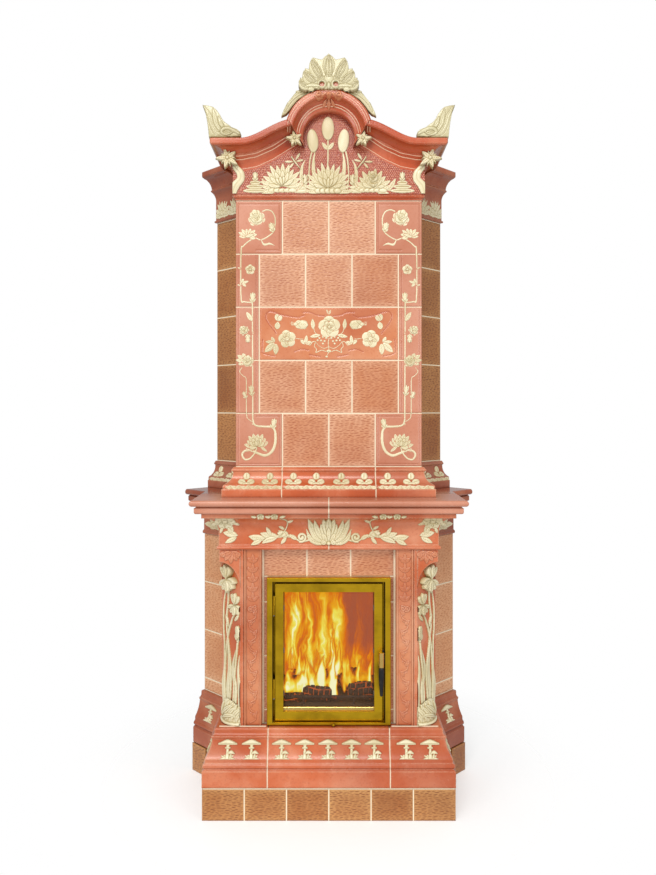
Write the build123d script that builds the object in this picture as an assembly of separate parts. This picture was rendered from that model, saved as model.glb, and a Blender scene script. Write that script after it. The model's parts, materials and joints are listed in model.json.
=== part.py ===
from build123d import *
from math import atan2, cos, degrees, pi, radians, sin, sqrt
import os

# Tiled corner stove with a fire door, built up in the corner of a room.
# Millimetres, +Z up, the fire door faces -Y. While it is built up, Y = 0 is the front of the plinth tiles;
# the last step moves everything so that the origin is the middle of the footprint, on the floor.
#
# The stove is built in two tiers. In plan each tier has a front, a return at each end of the front, and a
# side face at 45 degrees that runs out to the wall. "Projection" is the distance out from a tier's tiles.

# ---------------------------------------------------------------- driving sizes
REAR_CUT = 120.0             # the wall boards are cut off this far in front of the room corner
JOINT = 3.0                  # width of every open joint between ceramic pieces
POINTING_DEPTH = 2.0         # how far the pointing stands back from the tile faces
TILE_T = 24.0                # thickness of tiles and of moulding shells behind the tile plane
TILE_EDGE = 1.5              # chamfer around a tile's face
ROW = 191.5                  # height of one tile row with its joint

TIER_STEP = 51.0             # the upper tier is this much narrower at each end than the lower one
TIER_SETBACK = 61.0          # the upper tier stands this far behind the lower one
LOWER_RETURN = 253.0         # depth of the lower return, from the front to the side face
UPPER_RETURN = 229.0
LOWER_RUN = 111.0            # the lower side face runs out this far sideways, to the wall

PLINTH_H = 107.0
PLINTH_OUT = 59.0            # projection of the plinth tiles
PLINTH_SIDE_OUT = 52.0       # projection of the plinth's returns
PLINTH_TILES = 6
PLINTH_WALL_TILE = 85.0      # width of the plinth tile beside the wall
PLINTH_INLET_OUT = 30.0      # projection of the air inlet in the gap between the plinth tiles
PLINTH_INLET_T = 4.0
PLINTH_INLET_W = 42.0        # width of the gap in the plinth's return
INLET_SLOTS = 5
INLET_SLOT_W = 5.0
BASE_H = 193.0               # base moulding, up to the foot of the pillars
HEAD_TILE_H = 100.0          # recessed tiles over the door frame, up to the frieze
FRIEZE_H = 135.0
MANTLE_T = 48.0
MANTLE_OUT = 92.0
MANTLE_SPLIT = 135.0         # the joint in the mantle lies this far behind the pillars' plane
MANTLE_IN = 87.0             # how far the mantle reaches in under the upper tier
UPPER_BASE_H = 106.0
LOWER_ROWS = 3               # rows of the lower tier, above a low first row
UPPER_ROWS = 5
CORNICE_H = 194.5            # cornice of the side faces
BASE_JOINT_IN = 6.0          # joints of the base moulding's front, inside the edge of the door frame

NICHE_IN = 29.0              # the recessed tiles around the door stand this far behind the pillars
NICHE_REVEAL = 15.0          # width of the recessed tiles beside the door frame
CORE_WALL = 90.0             # thickness of the lower masonry walls
UPPER_CORE_WALL = 60.0
BOARD_T = 20.0               # wall-side boards
BODY_GAP = 0.3               # clearance between pieces that move apart

STRIP_W = 64.0               # moulded strip between the recess and the pillar
PILLAR_FACE = 10.0           # narrow front face between the chamfer and the strips
PILLAR_CHAMFER = 75.0
PILLAR_LEG = 121.0           # depth of the pillar's leg on the return
PILLAR_T = 30.0              # thickness of the pillar behind its chamfer
CONSOLE_H = 149.0
CONSOLE_LIP = 44.0           # upright part of the console under the frieze
FOOT_H = 97.0

BORDER_W = 84.0              # narrow relief tiles, and the leg of every corner tile on the return

# crest
CREST_H = 201.5              # up to the top of the flat ends
OGEE_FLAT = 25.0             # length of the flat ends, in from the tiles' corner
OGEE_RISE = 63.7
CREST_OUT = 82.0
CREST_PANEL_OUT = 10.0
CREST_FOOT_H = 20.5
ARCH_OUT = 86.0
ARCH_R = 155.0
ARCH_INNER_R = 92.0
ARCH_UP = 15.0               # centre of the arch, above the flat ends
TOP_COVER_T = 24.0

PALMETTE_H = 122.0
PALMETTE_EYE_X = 23.0
PALMETTE_EYE_R = 9.5
RIBBON_T = 14.0
LEAF_SIDES = 6               # straight flats along each curve of the leaves
COVE_SIDES = 4               # and along each cove of the crest's moulding
LEAF_H = 111.0
LEAF_FOOT = 100.0            # length of an end leaf along the crest
PALMETTE_T = 26.0
PALMETTE_OUT = 68.0          # projection of the palmette's back
LEAF_T = 22.0                # thickness of the leaves on the crest's ends

# fire door
FRAME_HALF = 219.0
FRAME_H = 522.0
FRAME_OUT = 26.0             # the frame stands this far in front of the recessed tiles
FRAME_FACE = 19.5            # width of the frame's front edge at the sides
FRAME_TOP_FACE = 14.0
FRAME_SILL = 10.0
FRAME_PLATE_T = 4.0
LAND_W = 8.0                 # sealing land around the fire opening
LAND_H = 4.0
LEAF_SIDE_GAP = 8.0          # gap between the leaf and the frame, at the sides
LEAF_FOOT_GAP = 1.5
LEAF_TOP_GAP = 9.0
LEAF_IN = 14.0               # the leaf stands this far behind the frame's front edge
LEAF_DEPTH = 22.0
RAIL_SIDE = 30.0             # width of the leaf around the clear glass
RAIL_FOOT = 32.5
RAIL_TOP = 30.4
GLASS_T = 4.0
GLASS_LAP = 8.5              # how far the pane runs behind the leaf
GLASS_IN = 12.0              # the pane lies this far behind the leaf's face
STRIP_H = 14.5               # bright strip along the foot of the glass
STRIP_T = 5.0
SEAL_W = 6.0
HINGE_FORWARD = 1.0          # the hinge axis stands this far in front of the leaf
HINGE_R = 3.7
HINGE_PIN_R = 2.0
PIN_CLEAR = 0.05             # running clearance on a radius
HINGE_LEN = 34.0             # length of one knuckle
HINGE_UP = (80.5, 375.5)     # foot of each hinge, above the foot of the leaf
HANDLE_IN = 7.0              # the spindle stands this far in from the leaf's edge
HANDLE_UP = 241.5            # and this far above its foot
HANDLE_OUT = 32.0            # the lever stands this far in front of the leaf
SPINDLE_R = 4.0
HUB_R = 9.0
HUB_LEN = 52.0
HUB_UP = 10.0                # the lever rises this far above its spindle
GRIP_LEN = 100.0
GRIP_R = 9.5
GRIP_TIP_R = 5.5
CAM_T = 3.0
CAM_GAP = 1.7               # space between the cam and the sealing land behind it
CAM_R = 6.0
CAM_REACH = 11.5
KEEPER_W = 8.0
KEEPER_H = 40.0
KEEPER_T = 7.0
KNOB_X = 16.0
KNOB_R = 4.4
KNOB_LEN = 9.0
ROD_R = 2.5
AIR_TRAVEL = 24.0
SHUTTER_HALF = 60.0
SHUTTER_T = 3.0
AIR_SLOT_HALF = 50.0
AIR_SLOT_H = 7.0

# firebox
CASING_CLEAR = 4.0           # the casing is this much narrower than the door frame at each side
CASING_DEPTH = 372.0
CASING_UP = 37.0             # the casing rises this far above the door frame
CASING_LIFT = 19.0           # and starts this far above the base moulding
CASING_T = 5.0
BRICK_T = 28.0
FLOOR_BRICK_T = 24.0
BRICK_JOINT = 0.8
AIR_GAP = 14.0               # slot for the air between the front of the casing and the floor bricks
BAFFLE_T = 20.0
BAFFLE_DOWN = 70.0           # the baffle lies this far below the top of the casing
BAFFLE_DEPTH = 250.0
LOG_BAR_R = 6.0
LOG_BAR_H = 26.0
LOG_BAR_IN = 22.0            # the bar stands this far behind the casing's front wall
ASH_H = 14.0

# flue
FLUE_R = 75.0                # outside radius of the flue pipe and its spigot
FLUE_T = 2.0
FLUE_IN = 228.0              # the riser stands this far behind the front of the casing
FLUE_OUT_UP = 786.0          # the outlet lies this far above the upper tier's foot
FLUE_BEND_R = 150.0          # radius of the elbow's middle line
ELBOW_GORES = 4
FLUE_SIDES = 32              # the hidden pipe and its elbow are bent up with this many flat sides
SPIGOT_LEN = 80.0            # the spigot stands out this far behind the boards
SPIGOT_R = 72.8              # outside radius of the reduced end that the next pipe slips over
FLUE_CLEAR = 2.0
COLLAR_W = 22.0
COLLAR_T = 8.0

# ---------------------------------------------------------------- worked out
R2 = sqrt(2)
GAP = JOINT / 2
NICHE_HALF = FRAME_HALF + NICHE_REVEAL
PILLAR_INNER_X = NICHE_HALF + JOINT + STRIP_W
LOWER_HALF = PILLAR_INNER_X + PILLAR_FACE + PILLAR_CHAMFER
UPPER_HALF = LOWER_HALF - TIER_STEP
LOWER_FRONT_Y = PLINTH_OUT
UPPER_FRONT_Y = LOWER_FRONT_Y + TIER_SETBACK
LOWER_SIDE = LOWER_HALF - LOWER_FRONT_Y - LOWER_RETURN      # x - y along the lower side face
UPPER_SIDE = UPPER_HALF - UPPER_FRONT_Y - UPPER_RETURN
WALL_CORNER_Y = 2 * (LOWER_HALF + LOWER_RUN) - LOWER_SIDE   # where the two room walls meet
REAR_FLAT_Y = WALL_CORNER_Y - REAR_CUT
LOWER = (LOWER_FRONT_Y, LOWER_HALF, LOWER_SIDE)
UPPER = (UPPER_FRONT_Y, UPPER_HALF, UPPER_SIDE)

PORTAL_H = FRAME_H + HEAD_TILE_H
BASE_Z = PLINTH_H + JOINT
PORTAL_Z = BASE_Z + BASE_H
FRIEZE_Z = PORTAL_Z + PORTAL_H
MANTLE_Z = FRIEZE_Z + FRIEZE_H
MANTLE_TOP_Z = MANTLE_Z + MANTLE_T
UPPER_Z = MANTLE_TOP_Z + UPPER_BASE_H
CORNICE_Z = UPPER_Z + UPPER_ROWS * ROW
CORNICE_TOP_Z = CORNICE_Z + CORNICE_H
CREST_TOP_Z = CORNICE_Z + CREST_H
ARCH_Z = CREST_TOP_Z + ARCH_UP

PLINTH_HALF = LOWER_HALF + PLINTH_SIDE_OUT
MANTLE_SPLIT_Y = LOWER_FRONT_Y + MANTLE_SPLIT
PILLAR_LEG_Y = LOWER_FRONT_Y + PILLAR_LEG
NICHE_Y = LOWER_FRONT_Y + NICHE_IN
CORE_FRONT_Y = NICHE_Y + TILE_T
COLUMN_W = UPPER_HALF / 2    # width of a wide tile column in the upper tier
CREST_BACK = TILE_T          # thickness of the crest behind the tile plane
OGEE_FLAT_X = UPPER_HALF - OGEE_FLAT
OGEE_KINK_X = sqrt(ARCH_R ** 2 - (OGEE_RISE - ARCH_UP) ** 2)    # the ogee meets the arch here
PALMETTE_Y = UPPER_FRONT_Y - PALMETTE_OUT

FRAME_TOP_Z = PORTAL_Z + FRAME_H
FRAME_Y = NICHE_Y - FRAME_OUT
LEAF_Y = FRAME_Y + LEAF_IN
LEAF_HALF = FRAME_HALF - FRAME_FACE - LEAF_SIDE_GAP
LEAF_BOTTOM_Z = PORTAL_Z + FRAME_SILL + LEAF_FOOT_GAP
LEAF_TOP_Z = FRAME_TOP_Z - FRAME_TOP_FACE - LEAF_TOP_GAP
GLASS_HALF = LEAF_HALF - RAIL_SIDE              # half width of the clear glass
GLASS_BOTTOM_Z = LEAF_BOTTOM_Z + RAIL_FOOT
GLASS_TOP_Z = LEAF_TOP_Z - RAIL_TOP
GLASS_Y = LEAF_Y + GLASS_IN
HINGE_X = -LEAF_HALF - LEAF_SIDE_GAP / 2
HINGE_Y = LEAF_Y - HINGE_FORWARD
HINGE_Z = [LEAF_BOTTOM_Z + up for up in HINGE_UP]
HANDLE_X = LEAF_HALF - HANDLE_IN
HANDLE_Z = LEAF_BOTTOM_Z + HANDLE_UP
HANDLE_Y = LEAF_Y - HANDLE_OUT

CASING_HALF = FRAME_HALF - CASING_CLEAR
CASING_TOP_Z = FRAME_TOP_Z + CASING_UP
CASING_BOTTOM_Z = PORTAL_Z + CASING_LIFT
BAFFLE_Z = CASING_TOP_Z - BAFFLE_DOWN
FLUE_Y = CORE_FRONT_Y + FLUE_IN
FLUE_OUT_Z = UPPER_Z + FLUE_OUT_UP
SPIGOT_END_Y = REAR_FLAT_Y + SPIGOT_LEN

FRONT_Y = LOWER_FRONT_Y - MANTLE_OUT
SHIFT = Pos(0, -(FRONT_Y + SPIGOT_END_Y) / 2, 0)
WHOLE = WALL_CORNER_Y + LOWER_HALF              # wider and deeper than the stove, for cutting right through
WHOLE_H = ARCH_Z + ARCH_R + PALMETTE_H

made = {}


def keep(name, *shapes):
    """Adds solids to the node called name."""
    for shape in shapes:
        made.setdefault(name, []).extend(shape.solids())


def box(x0, x1, y0, y1, z0, z1):
    return Pos((x0 + x1) / 2, (y0 + y1) / 2, (z0 + z1) / 2) * Box(abs(x1 - x0), abs(y1 - y0), abs(z1 - z0))


def prism(points, z0, z1):
    """Upright prism over a plan outline."""
    return extrude(Pos(0, 0, z0) * make_face(Polyline(*points, close=True)), z1 - z0, dir=(0, 0, 1))


def plate_xz(face, y0, y1):
    """An outline drawn in X and Z, given thickness from y0 to y1."""
    return extrude(Plane((0, y0, 0), x_dir=(1, 0, 0), z_dir=(0, -1, 0)) * face, y1 - y0, dir=(0, 1, 0))


def bow(a, b, rise, flats):
    """Points along the arc from a to b, which rises to the right by rise, as straight flats."""
    chord = sqrt((b[0] - a[0]) ** 2 + (b[1] - a[1]) ** 2)
    half = 2 * atan2(2 * rise, chord)
    radius = chord / (2 * sin(half))
    along = ((b[0] - a[0]) / chord, (b[1] - a[1]) / chord)
    points = []
    for k in range(1, flats + 1):
        turn = half - 2 * half * k / flats
        u = chord / 2 - radius * sin(turn)
        v = radius * cos(turn) - radius * cos(half)
        points.append((a[0] + u * along[0] + v * along[1], a[1] + u * along[1] - v * along[0]))
    return points[:-1] + [b]


def outline(points, flats=0):
    """Closed face through (p, z) points; a third value is the rise, to the right, of the arc to that point.
    With flats, each arc is made of that many straight lines."""
    edges = []
    last = points[0][:2]
    for point in list(points[1:]) + [points[0][:2]]:
        there = point[:2]
        if there == last:
            continue
        if len(point) == 3 and flats:
            stops = [last] + bow(last, there, point[2], flats)
            edges += [Line(p, q) for p, q in zip(stops, stops[1:])]
        elif len(point) == 3:
            edges.append(SagittaArc(last, there, -point[2]))
        else:
            edges.append(Line(last, there))
        last = there
    return make_face(edges)


def turned(sections, sides=16):
    """A turned piece along +Z with flats around it, from (z, radius) sections."""
    piece = None
    for (z0, r0), (z1, r1) in zip(sections, sections[1:]):
        lean = degrees(atan2((r0 - r1) * cos(pi / sides), z1 - z0))
        length = extrude(Pos(0, 0, z0) * RegularPolygon(r0, sides), z1 - z0, taper=lean)
        piece = length if piece is None else piece + length
    return piece


def member(low, high, points):
    """Profile points whose heights count up from low, or down from high where they are negative."""
    return [(point[0], (high if point[1] < 0 else low) + point[1], *point[2:]) for point in points]


def both(shape):
    """The shape and its mirror image in the plane of symmetry."""
    return [shape, mirror(shape, about=Plane.YZ)]


def plan(tier, out, front_out=None, wall=0.0, chamfer_at=None):
    """Plan outline of a tier, out from its tiles by out, and standing back from the walls by wall."""
    front, half, side = tier
    y_front = front - (out if front_out is None else front_out)
    x = half + out
    s = side + out * R2
    q = WALL_CORNER_Y - wall * R2
    y_rear = REAR_FLAT_Y - wall
    right = [(x, y_front)] if chamfer_at is None else [(chamfer_at + y_front, y_front), (x, x - chamfer_at)]
    right += [(x, x - s), ((s + q) / 2, (q - s) / 2), (q - y_rear, y_rear)]
    return right + [(-a, b) for a, b in reversed(right)]


def inner_corner(tier, out=0.0):
    """The corner in plan between the return and the side face."""
    x = tier[1] + out
    return x, x - tier[2] - out * R2


def wall_tip(tier, out=0.0):
    """Where the side face meets the wall."""
    s = tier[2] + out * R2
    return (s + WALL_CORNER_Y) / 2, (WALL_CORNER_Y - s) / 2


def run(tier, profile):
    """A moulding swept from wall to wall along the faces of a tier, mitred at every corner."""
    right = [wall_tip(tier), inner_corner(tier), (tier[1], tier[0])]
    points = right + [(-x, y) for x, y in reversed(right)]
    path = Wire.make_polygon([Vector(x, y, 0) for x, y in points], close=False)
    start = Plane((*right[0], 0), x_dir=(1, -1, 0), z_dir=(-1, -1, 0))
    return sweep(start * profile, path=path, transition=Transition.RIGHT)


def front_slot(x, z0, z1):
    """An open joint across the front, at x."""
    return box(x - JOINT / 2, x + JOINT / 2, FRONT_Y - 20, REAR_FLAT_Y, z0, z1)


def corner_slots(tier, z0, z1):
    """The open joints on the mitres between the returns and the side faces."""
    x, y = inner_corner(tier)
    slab = Pos(x, y, (z0 + z1) / 2) * Rot(0, 0, -22.5) * Box(WHOLE, JOINT, z1 - z0)
    slab = slab & box(0, WHOLE, -WHOLE, WHOLE, z0, z1)
    return both(slab)


def split(name, side_name, shape, tier, cutters):
    """Cuts a run at its joints and keeps the front pieces and the wall-side pieces apart."""
    for cutter in cutters:
        shape = shape - cutter
    limit = inner_corner(tier)[1]
    for solid in shape.solids():
        keep(name if solid.center().Y < limit and abs(solid.center().X) < tier[1] + 60 else side_name, solid)


def tile(width, height, edge=TILE_EDGE, depth=TILE_T):
    """A tile that stands on (0, 0), its face in the plane y = 0 and its body behind it."""
    body = box(0, width, 0, depth, 0, height)
    return chamfer(body.faces().sort_by(Axis.Y)[0].edges(), edge)


class Panel:
    """A flat stretch of tiling: where it starts, which way it runs, and the pointing between its tiles."""

    def __init__(self, start, direction, length, z0, z1):
        angle = degrees(atan2(direction[1], direction[0]))
        self.place = Pos(start[0], start[1], 0) * Rot(0, 0, angle)
        self.length = length
        self.mortar = self.place * box(0, length, POINTING_DEPTH, TILE_T, z0, z1)

    def add(self, name, u0, u1, z0, z1, first=False, last=False):
        """Sets a tile between two joint lines; first and last run out to the end of the panel."""
        a = u0 if first else u0 + JOINT / 2
        b = u1 if last else u1 - JOINT / 2
        body = self.place * Pos(a, 0, z0 + JOINT / 2) * tile(b - a, z1 - z0 - JOINT)
        keep(name, body)
        self.mortar = self.mortar - self.place * box(a, b, 0, TILE_T, z0 + JOINT / 2, z1 - JOINT / 2)


def mirror_panel(name, panel_left, panel_right, *span, **ends):
    panel_left.add(name, *span, **ends)
    length = panel_right.length
    u0, u1, z0, z1 = span
    ends = {"first": ends.get("last", False), "last": ends.get("first", False)}
    panel_right.add(name, length - u1, length - u0, z0, z1, **ends)


def rows(z0, count, pitch=ROW):
    return [(z0 + k * pitch, z0 + (k + 1) * pitch) for k in range(count)]


# ---------------------------------------------------------------- plinth
plinth_w = 2 * PLINTH_HALF / PLINTH_TILES
plinth_y = LOWER_FRONT_Y - PLINTH_OUT
for k in range(PLINTH_TILES):
    x0 = -PLINTH_HALF + k * plinth_w + (0 if k == 0 else JOINT / 2)
    x1 = -PLINTH_HALF + (k + 1) * plinth_w - (0 if k == PLINTH_TILES - 1 else JOINT / 2)
    keep("plinth_tiles_front", Pos(x0, plinth_y, 0) * tile(x1 - x0, PLINTH_H))

tip_x, tip_y = wall_tip(LOWER, PLINTH_OUT)
wall_plinth_x = tip_x - PLINTH_WALL_TILE / R2
wall_plinth_y = tip_y - PLINTH_WALL_TILE / R2
plinth_return_end = inner_corner(LOWER, PLINTH_OUT - TILE_T)[1] - PLINTH_INLET_W
return_tile = Pos(PLINTH_HALF, plinth_y + TILE_T, 0) * Rot(0, 0, 90) * tile(
    plinth_return_end - plinth_y - TILE_T, PLINTH_H)
wall_tile = Pos(wall_plinth_x, wall_plinth_y, 0) * Rot(0, 0, 45) * tile(PLINTH_WALL_TILE, PLINTH_H)
keep("plinth_tiles_side", *both(return_tile), *both(wall_tile))

plinth_outline = plan(LOWER, PLINTH_INLET_OUT - PLINTH_INLET_T, wall=BOARD_T)
plinth_core = prism(plinth_outline, 0, BASE_Z)
plinth_core = plinth_core & box(-WHOLE, WHOLE, plinth_y + TILE_T, WHOLE, 0, BASE_Z)
front_core = box(-PLINTH_HALF + TILE_T, PLINTH_HALF - TILE_T, plinth_y + TILE_T, plinth_return_end, 0, BASE_Z)
back_in = Pos(wall_plinth_x, wall_plinth_y, 0) * Rot(0, 0, 45) * box(
    0, PLINTH_WALL_TILE, TILE_T, TILE_T + 60, 0, BASE_Z)
wall_side = prism(plan(LOWER, PLINTH_OUT - TILE_T, wall=BOARD_T), 0, BASE_Z)
keep("plinth_block", plinth_core + front_core + [b & wall_side for b in both(back_in)])

inlet_x, inlet_y = inner_corner(LOWER, PLINTH_INLET_OUT)
inlet_len = sqrt((wall_plinth_x - inlet_x) ** 2 + (wall_plinth_y - inlet_y) ** 2) - 16.0
inlet = box(4, inlet_len, 0, PLINTH_INLET_T, 6, PLINTH_H - 6)
slot_pitch = (inlet_len - 4) / (INLET_SLOTS + 1)
for k in range(INLET_SLOTS):
    u = 4 + slot_pitch * (k + 1)
    inlet = inlet - box(u - INLET_SLOT_W / 2, u + INLET_SLOT_W / 2, -1, PLINTH_INLET_T + 1, 18, PLINTH_H - 18)
keep("air_inlet_grilles", *both(Pos(inlet_x, inlet_y, 0) * Rot(0, 0, 45) * inlet))

# ---------------------------------------------------------------- base moulding
base_profile = outline(member(BASE_Z, PORTAL_Z, [
    (-TILE_T, 0), (54, 0), (54, 57), (49, 61), (46, 64), (46, 82, 6), (45, 86), (45, 96),
    (22, -36, -4), (25, -32), (25, -26), (15, -14, -3), (15, -8), (11, -GAP, 1.5), (-TILE_T, -GAP)]))
BASE_JOINT_X = FRAME_HALF - BASE_JOINT_IN
base_cuts = [front_slot(x, BASE_Z, PORTAL_Z) for x in (-BASE_JOINT_X, BASE_JOINT_X)]
base_cuts += corner_slots(LOWER, BASE_Z, PORTAL_Z)
split("base_moulding_front", "base_moulding_side", run(LOWER, base_profile), LOWER, base_cuts)

# ---------------------------------------------------------------- lower masonry
core_chamfer = (LOWER_HALF - PILLAR_CHAMFER) - LOWER_FRONT_Y - PILLAR_T * R2
niche_out = LOWER_FRONT_Y - CORE_FRONT_Y
keep("base_slab", prism(plan(LOWER, -TILE_T, wall=BOARD_T), BASE_Z, PORTAL_Z))
core_outer = prism(plan(LOWER, -TILE_T, niche_out, BOARD_T, core_chamfer), PORTAL_Z, MANTLE_Z)
core_inner = prism(plan(LOWER, -TILE_T - CORE_WALL, niche_out - CORE_WALL, BOARD_T + CORE_WALL), PORTAL_Z, MANTLE_Z)
fire_hole = box(-CASING_HALF, CASING_HALF, CORE_FRONT_Y - 1, CORE_FRONT_Y + CORE_WALL + 10,
                PORTAL_Z, CASING_TOP_Z)
keep("core_lower", core_outer - core_inner - fire_hole)

transfer = prism(plan(LOWER, -MANTLE_IN, wall=BOARD_T), MANTLE_Z, MANTLE_TOP_Z)
flue_hole = Pos(0, FLUE_Y, (MANTLE_Z + MANTLE_TOP_Z) / 2) * Cylinder(FLUE_R + FLUE_CLEAR, 2 * MANTLE_T)
keep("cover_slabs", transfer - flue_hole)

# ---------------------------------------------------------------- portal: pillars, consoles, feet, strips
chamfer_x = LOWER_HALF - PILLAR_CHAMFER
chamfer_y = LOWER_FRONT_Y + PILLAR_CHAMFER
pillar_plan = [
    (PILLAR_INNER_X, LOWER_FRONT_Y), (chamfer_x, LOWER_FRONT_Y), (LOWER_HALF, chamfer_y),
    (LOWER_HALF, PILLAR_LEG_Y), (LOWER_HALF - TILE_T, PILLAR_LEG_Y),
    (LOWER_HALF - TILE_T, LOWER_HALF - TILE_T - core_chamfer), (CORE_FRONT_Y + core_chamfer, CORE_FRONT_Y),
    (PILLAR_INNER_X, CORE_FRONT_Y)]
keep("pillars", *both(prism(pillar_plan, PORTAL_Z, FRIEZE_Z)))

corner_plan = [(chamfer_x, LOWER_FRONT_Y), (LOWER_HALF, LOWER_FRONT_Y), (LOWER_HALF, chamfer_y)]
bracket_rx = LOWER_HALF - chamfer_x
bracket_rz = CONSOLE_H - CONSOLE_LIP


def elliptic_bars(x, y, z, radius, height):
    """Two bars of the same elliptical section, one along Y at x and one along X at y, both at height z."""
    section = Ellipse(radius, height)
    along_y = extrude(Plane((x, 0, z), x_dir=(1, 0, 0), z_dir=(0, -1, 0)) * section, WHOLE, both=True)
    along_x = extrude(Plane((0, y, z), x_dir=(0, 1, 0), z_dir=(1, 0, 0)) * section, WHOLE, both=True)
    return along_y, along_x


console_z = FRIEZE_Z - CONSOLE_H
hollow_y, hollow_x = elliptic_bars(LOWER_HALF, LOWER_FRONT_Y, console_z, bracket_rx + 0.01, bracket_rz)
console = prism(corner_plan, console_z, FRIEZE_Z) - (hollow_y & hollow_x)
keep("pillar_consoles", *both(console))

round_y, round_x = elliptic_bars(chamfer_x, chamfer_y, PORTAL_Z, PILLAR_CHAMFER, FOOT_H)
foot = prism(corner_plan, PORTAL_Z, PORTAL_Z + FOOT_H) & round_y & round_x
keep("pillar_feet", *both(foot))

strip_in = NICHE_HALF + JOINT
strip_plan = [
    (PILLAR_INNER_X, CORE_FRONT_Y), (PILLAR_INNER_X, LOWER_FRONT_Y + 4), (PILLAR_INNER_X - 3, LOWER_FRONT_Y + 1),
    (PILLAR_INNER_X - 7, LOWER_FRONT_Y + 1), (PILLAR_INNER_X - 10, LOWER_FRONT_Y + 8),
    (strip_in + 10, LOWER_FRONT_Y + 8), (strip_in + 7, LOWER_FRONT_Y + 4), (strip_in + 3, LOWER_FRONT_Y + 4),
    (strip_in, LOWER_FRONT_Y + 13), (strip_in, CORE_FRONT_Y)]
keep("portal_strips", *both(prism(strip_plan, PORTAL_Z, FRIEZE_Z)))

# ---------------------------------------------------------------- recessed tiles around the door
niche = Panel((-NICHE_HALF - JOINT, NICHE_Y), (1, 0), 2 * (NICHE_HALF + JOINT), PORTAL_Z, FRIEZE_Z)
niche.mortar = niche.mortar - box(-FRAME_HALF, FRAME_HALF, 0, WHOLE, PORTAL_Z, FRAME_TOP_Z)
niche_w = 2 * NICHE_HALF / 3
for k in range(3):
    u = JOINT + k * niche_w
    niche.add("niche_tiles", u, u + niche_w, FRAME_TOP_Z, FRIEZE_Z)
low_row = (PORTAL_Z, PORTAL_Z + ROW / 4)
lower_row = (FRIEZE_Z - low_row[1]) / LOWER_ROWS
niche_rows = [low_row, *rows(low_row[1], LOWER_ROWS - 1, lower_row)]
niche_rows.append((niche_rows[-1][1], FRAME_TOP_Z))
for z0, z1 in niche_rows:
    right_u = niche.length - NICHE_HALF + FRAME_HALF - JOINT
    niche.add("niche_tiles", JOINT, JOINT + NICHE_HALF - FRAME_HALF, z0, z1, last=True)
    niche.add("niche_tiles", right_u, niche.length - JOINT, z0, z1, first=True)
keep("pointing", niche.mortar)

# ---------------------------------------------------------------- lower side tiles
lower_rows = [low_row, *rows(low_row[1], LOWER_ROWS, lower_row)]


def side_panels(tier, z0, z1):
    """Panels on the two side faces, each run from left to right as seen from outside."""
    cx, cy = inner_corner(tier)
    tx, ty = wall_tip(tier)
    length = (tx - cx) * R2
    return Panel((-tx, ty), (1, -1), length, z0, z1), Panel((cx, cy), (1, 1), length, z0, z1)


def return_panels(tier, y0, z0, z1):
    """Panels on the two returns, from y0 back to the side face."""
    cx, cy = inner_corner(tier)
    return Panel((-cx, cy), (0, -1), cy - y0, z0, z1), Panel((cx, y0), (0, 1), cy - y0, z0, z1)


lower_sides = side_panels(LOWER, PORTAL_Z, FRIEZE_Z)
lower_returns = return_panels(LOWER, PILLAR_LEG_Y, PORTAL_Z, FRIEZE_Z)
side_len = lower_sides[0].length
return_len = lower_returns[0].length
for z0, z1 in lower_rows:
    mirror_panel("side_tiles_lower", *lower_sides, 0, side_len, z0, z1, first=True)
    mirror_panel("side_tiles_lower", *lower_returns, 0, return_len, z0, z1)
keep("pointing", *[p.mortar for p in lower_sides + lower_returns])

# ---------------------------------------------------------------- frieze and mantle
frieze_profile = outline(member(FRIEZE_Z, MANTLE_Z, [
    (-TILE_T, GAP), (6, GAP), (6, 13.5, 3), (2, 17), (2, -70), (55, -17, -16), (55, -GAP), (-TILE_T, -GAP)]))
frieze_cuts = [front_slot(0, FRIEZE_Z, MANTLE_Z)] + corner_slots(LOWER, FRIEZE_Z, MANTLE_Z)
split("frieze_front", "frieze_side", run(LOWER, frieze_profile), LOWER, frieze_cuts)

nose = MANTLE_OUT - 8
mantle_profile = outline(member(MANTLE_Z, MANTLE_TOP_Z, [
    (-MANTLE_IN, 0), (nose - 14, 0), (nose - 7, 6, 1.5), (nose - 7, 20), (nose - 13, 24), (nose - 13, -21),
    (nose, -21)]) + [(nose, MANTLE_TOP_Z, 8), (-MANTLE_IN, MANTLE_TOP_Z)])
mantle = run(LOWER, mantle_profile) - front_slot(0, MANTLE_Z, MANTLE_TOP_Z)
mantle = mantle - box(-WHOLE, WHOLE, MANTLE_SPLIT_Y - GAP, MANTLE_SPLIT_Y + GAP, MANTLE_Z, MANTLE_TOP_Z)
for solid in mantle.solids():
    keep("mantle_front" if solid.center().Y < MANTLE_SPLIT_Y else "mantle_side", solid)

# ---------------------------------------------------------------- upper tier
upper_base_profile = outline(member(MANTLE_TOP_Z, UPPER_Z, [
    (-TILE_T, 0), (46, 0), (46, 28), (41, 31), (38, 44, 3), (9, -18, -9),
    (13, -15), (13, -9, 2), (7, -GAP), (-TILE_T, -GAP)]))
upper_base_cuts = [front_slot(x, MANTLE_TOP_Z, UPPER_Z) for x in (-COLUMN_W, COLUMN_W)]
upper_base_cuts += corner_slots(UPPER, MANTLE_TOP_Z, UPPER_Z)
split("upper_base_front", "upper_base_side", run(UPPER, upper_base_profile), UPPER, upper_base_cuts)

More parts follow.
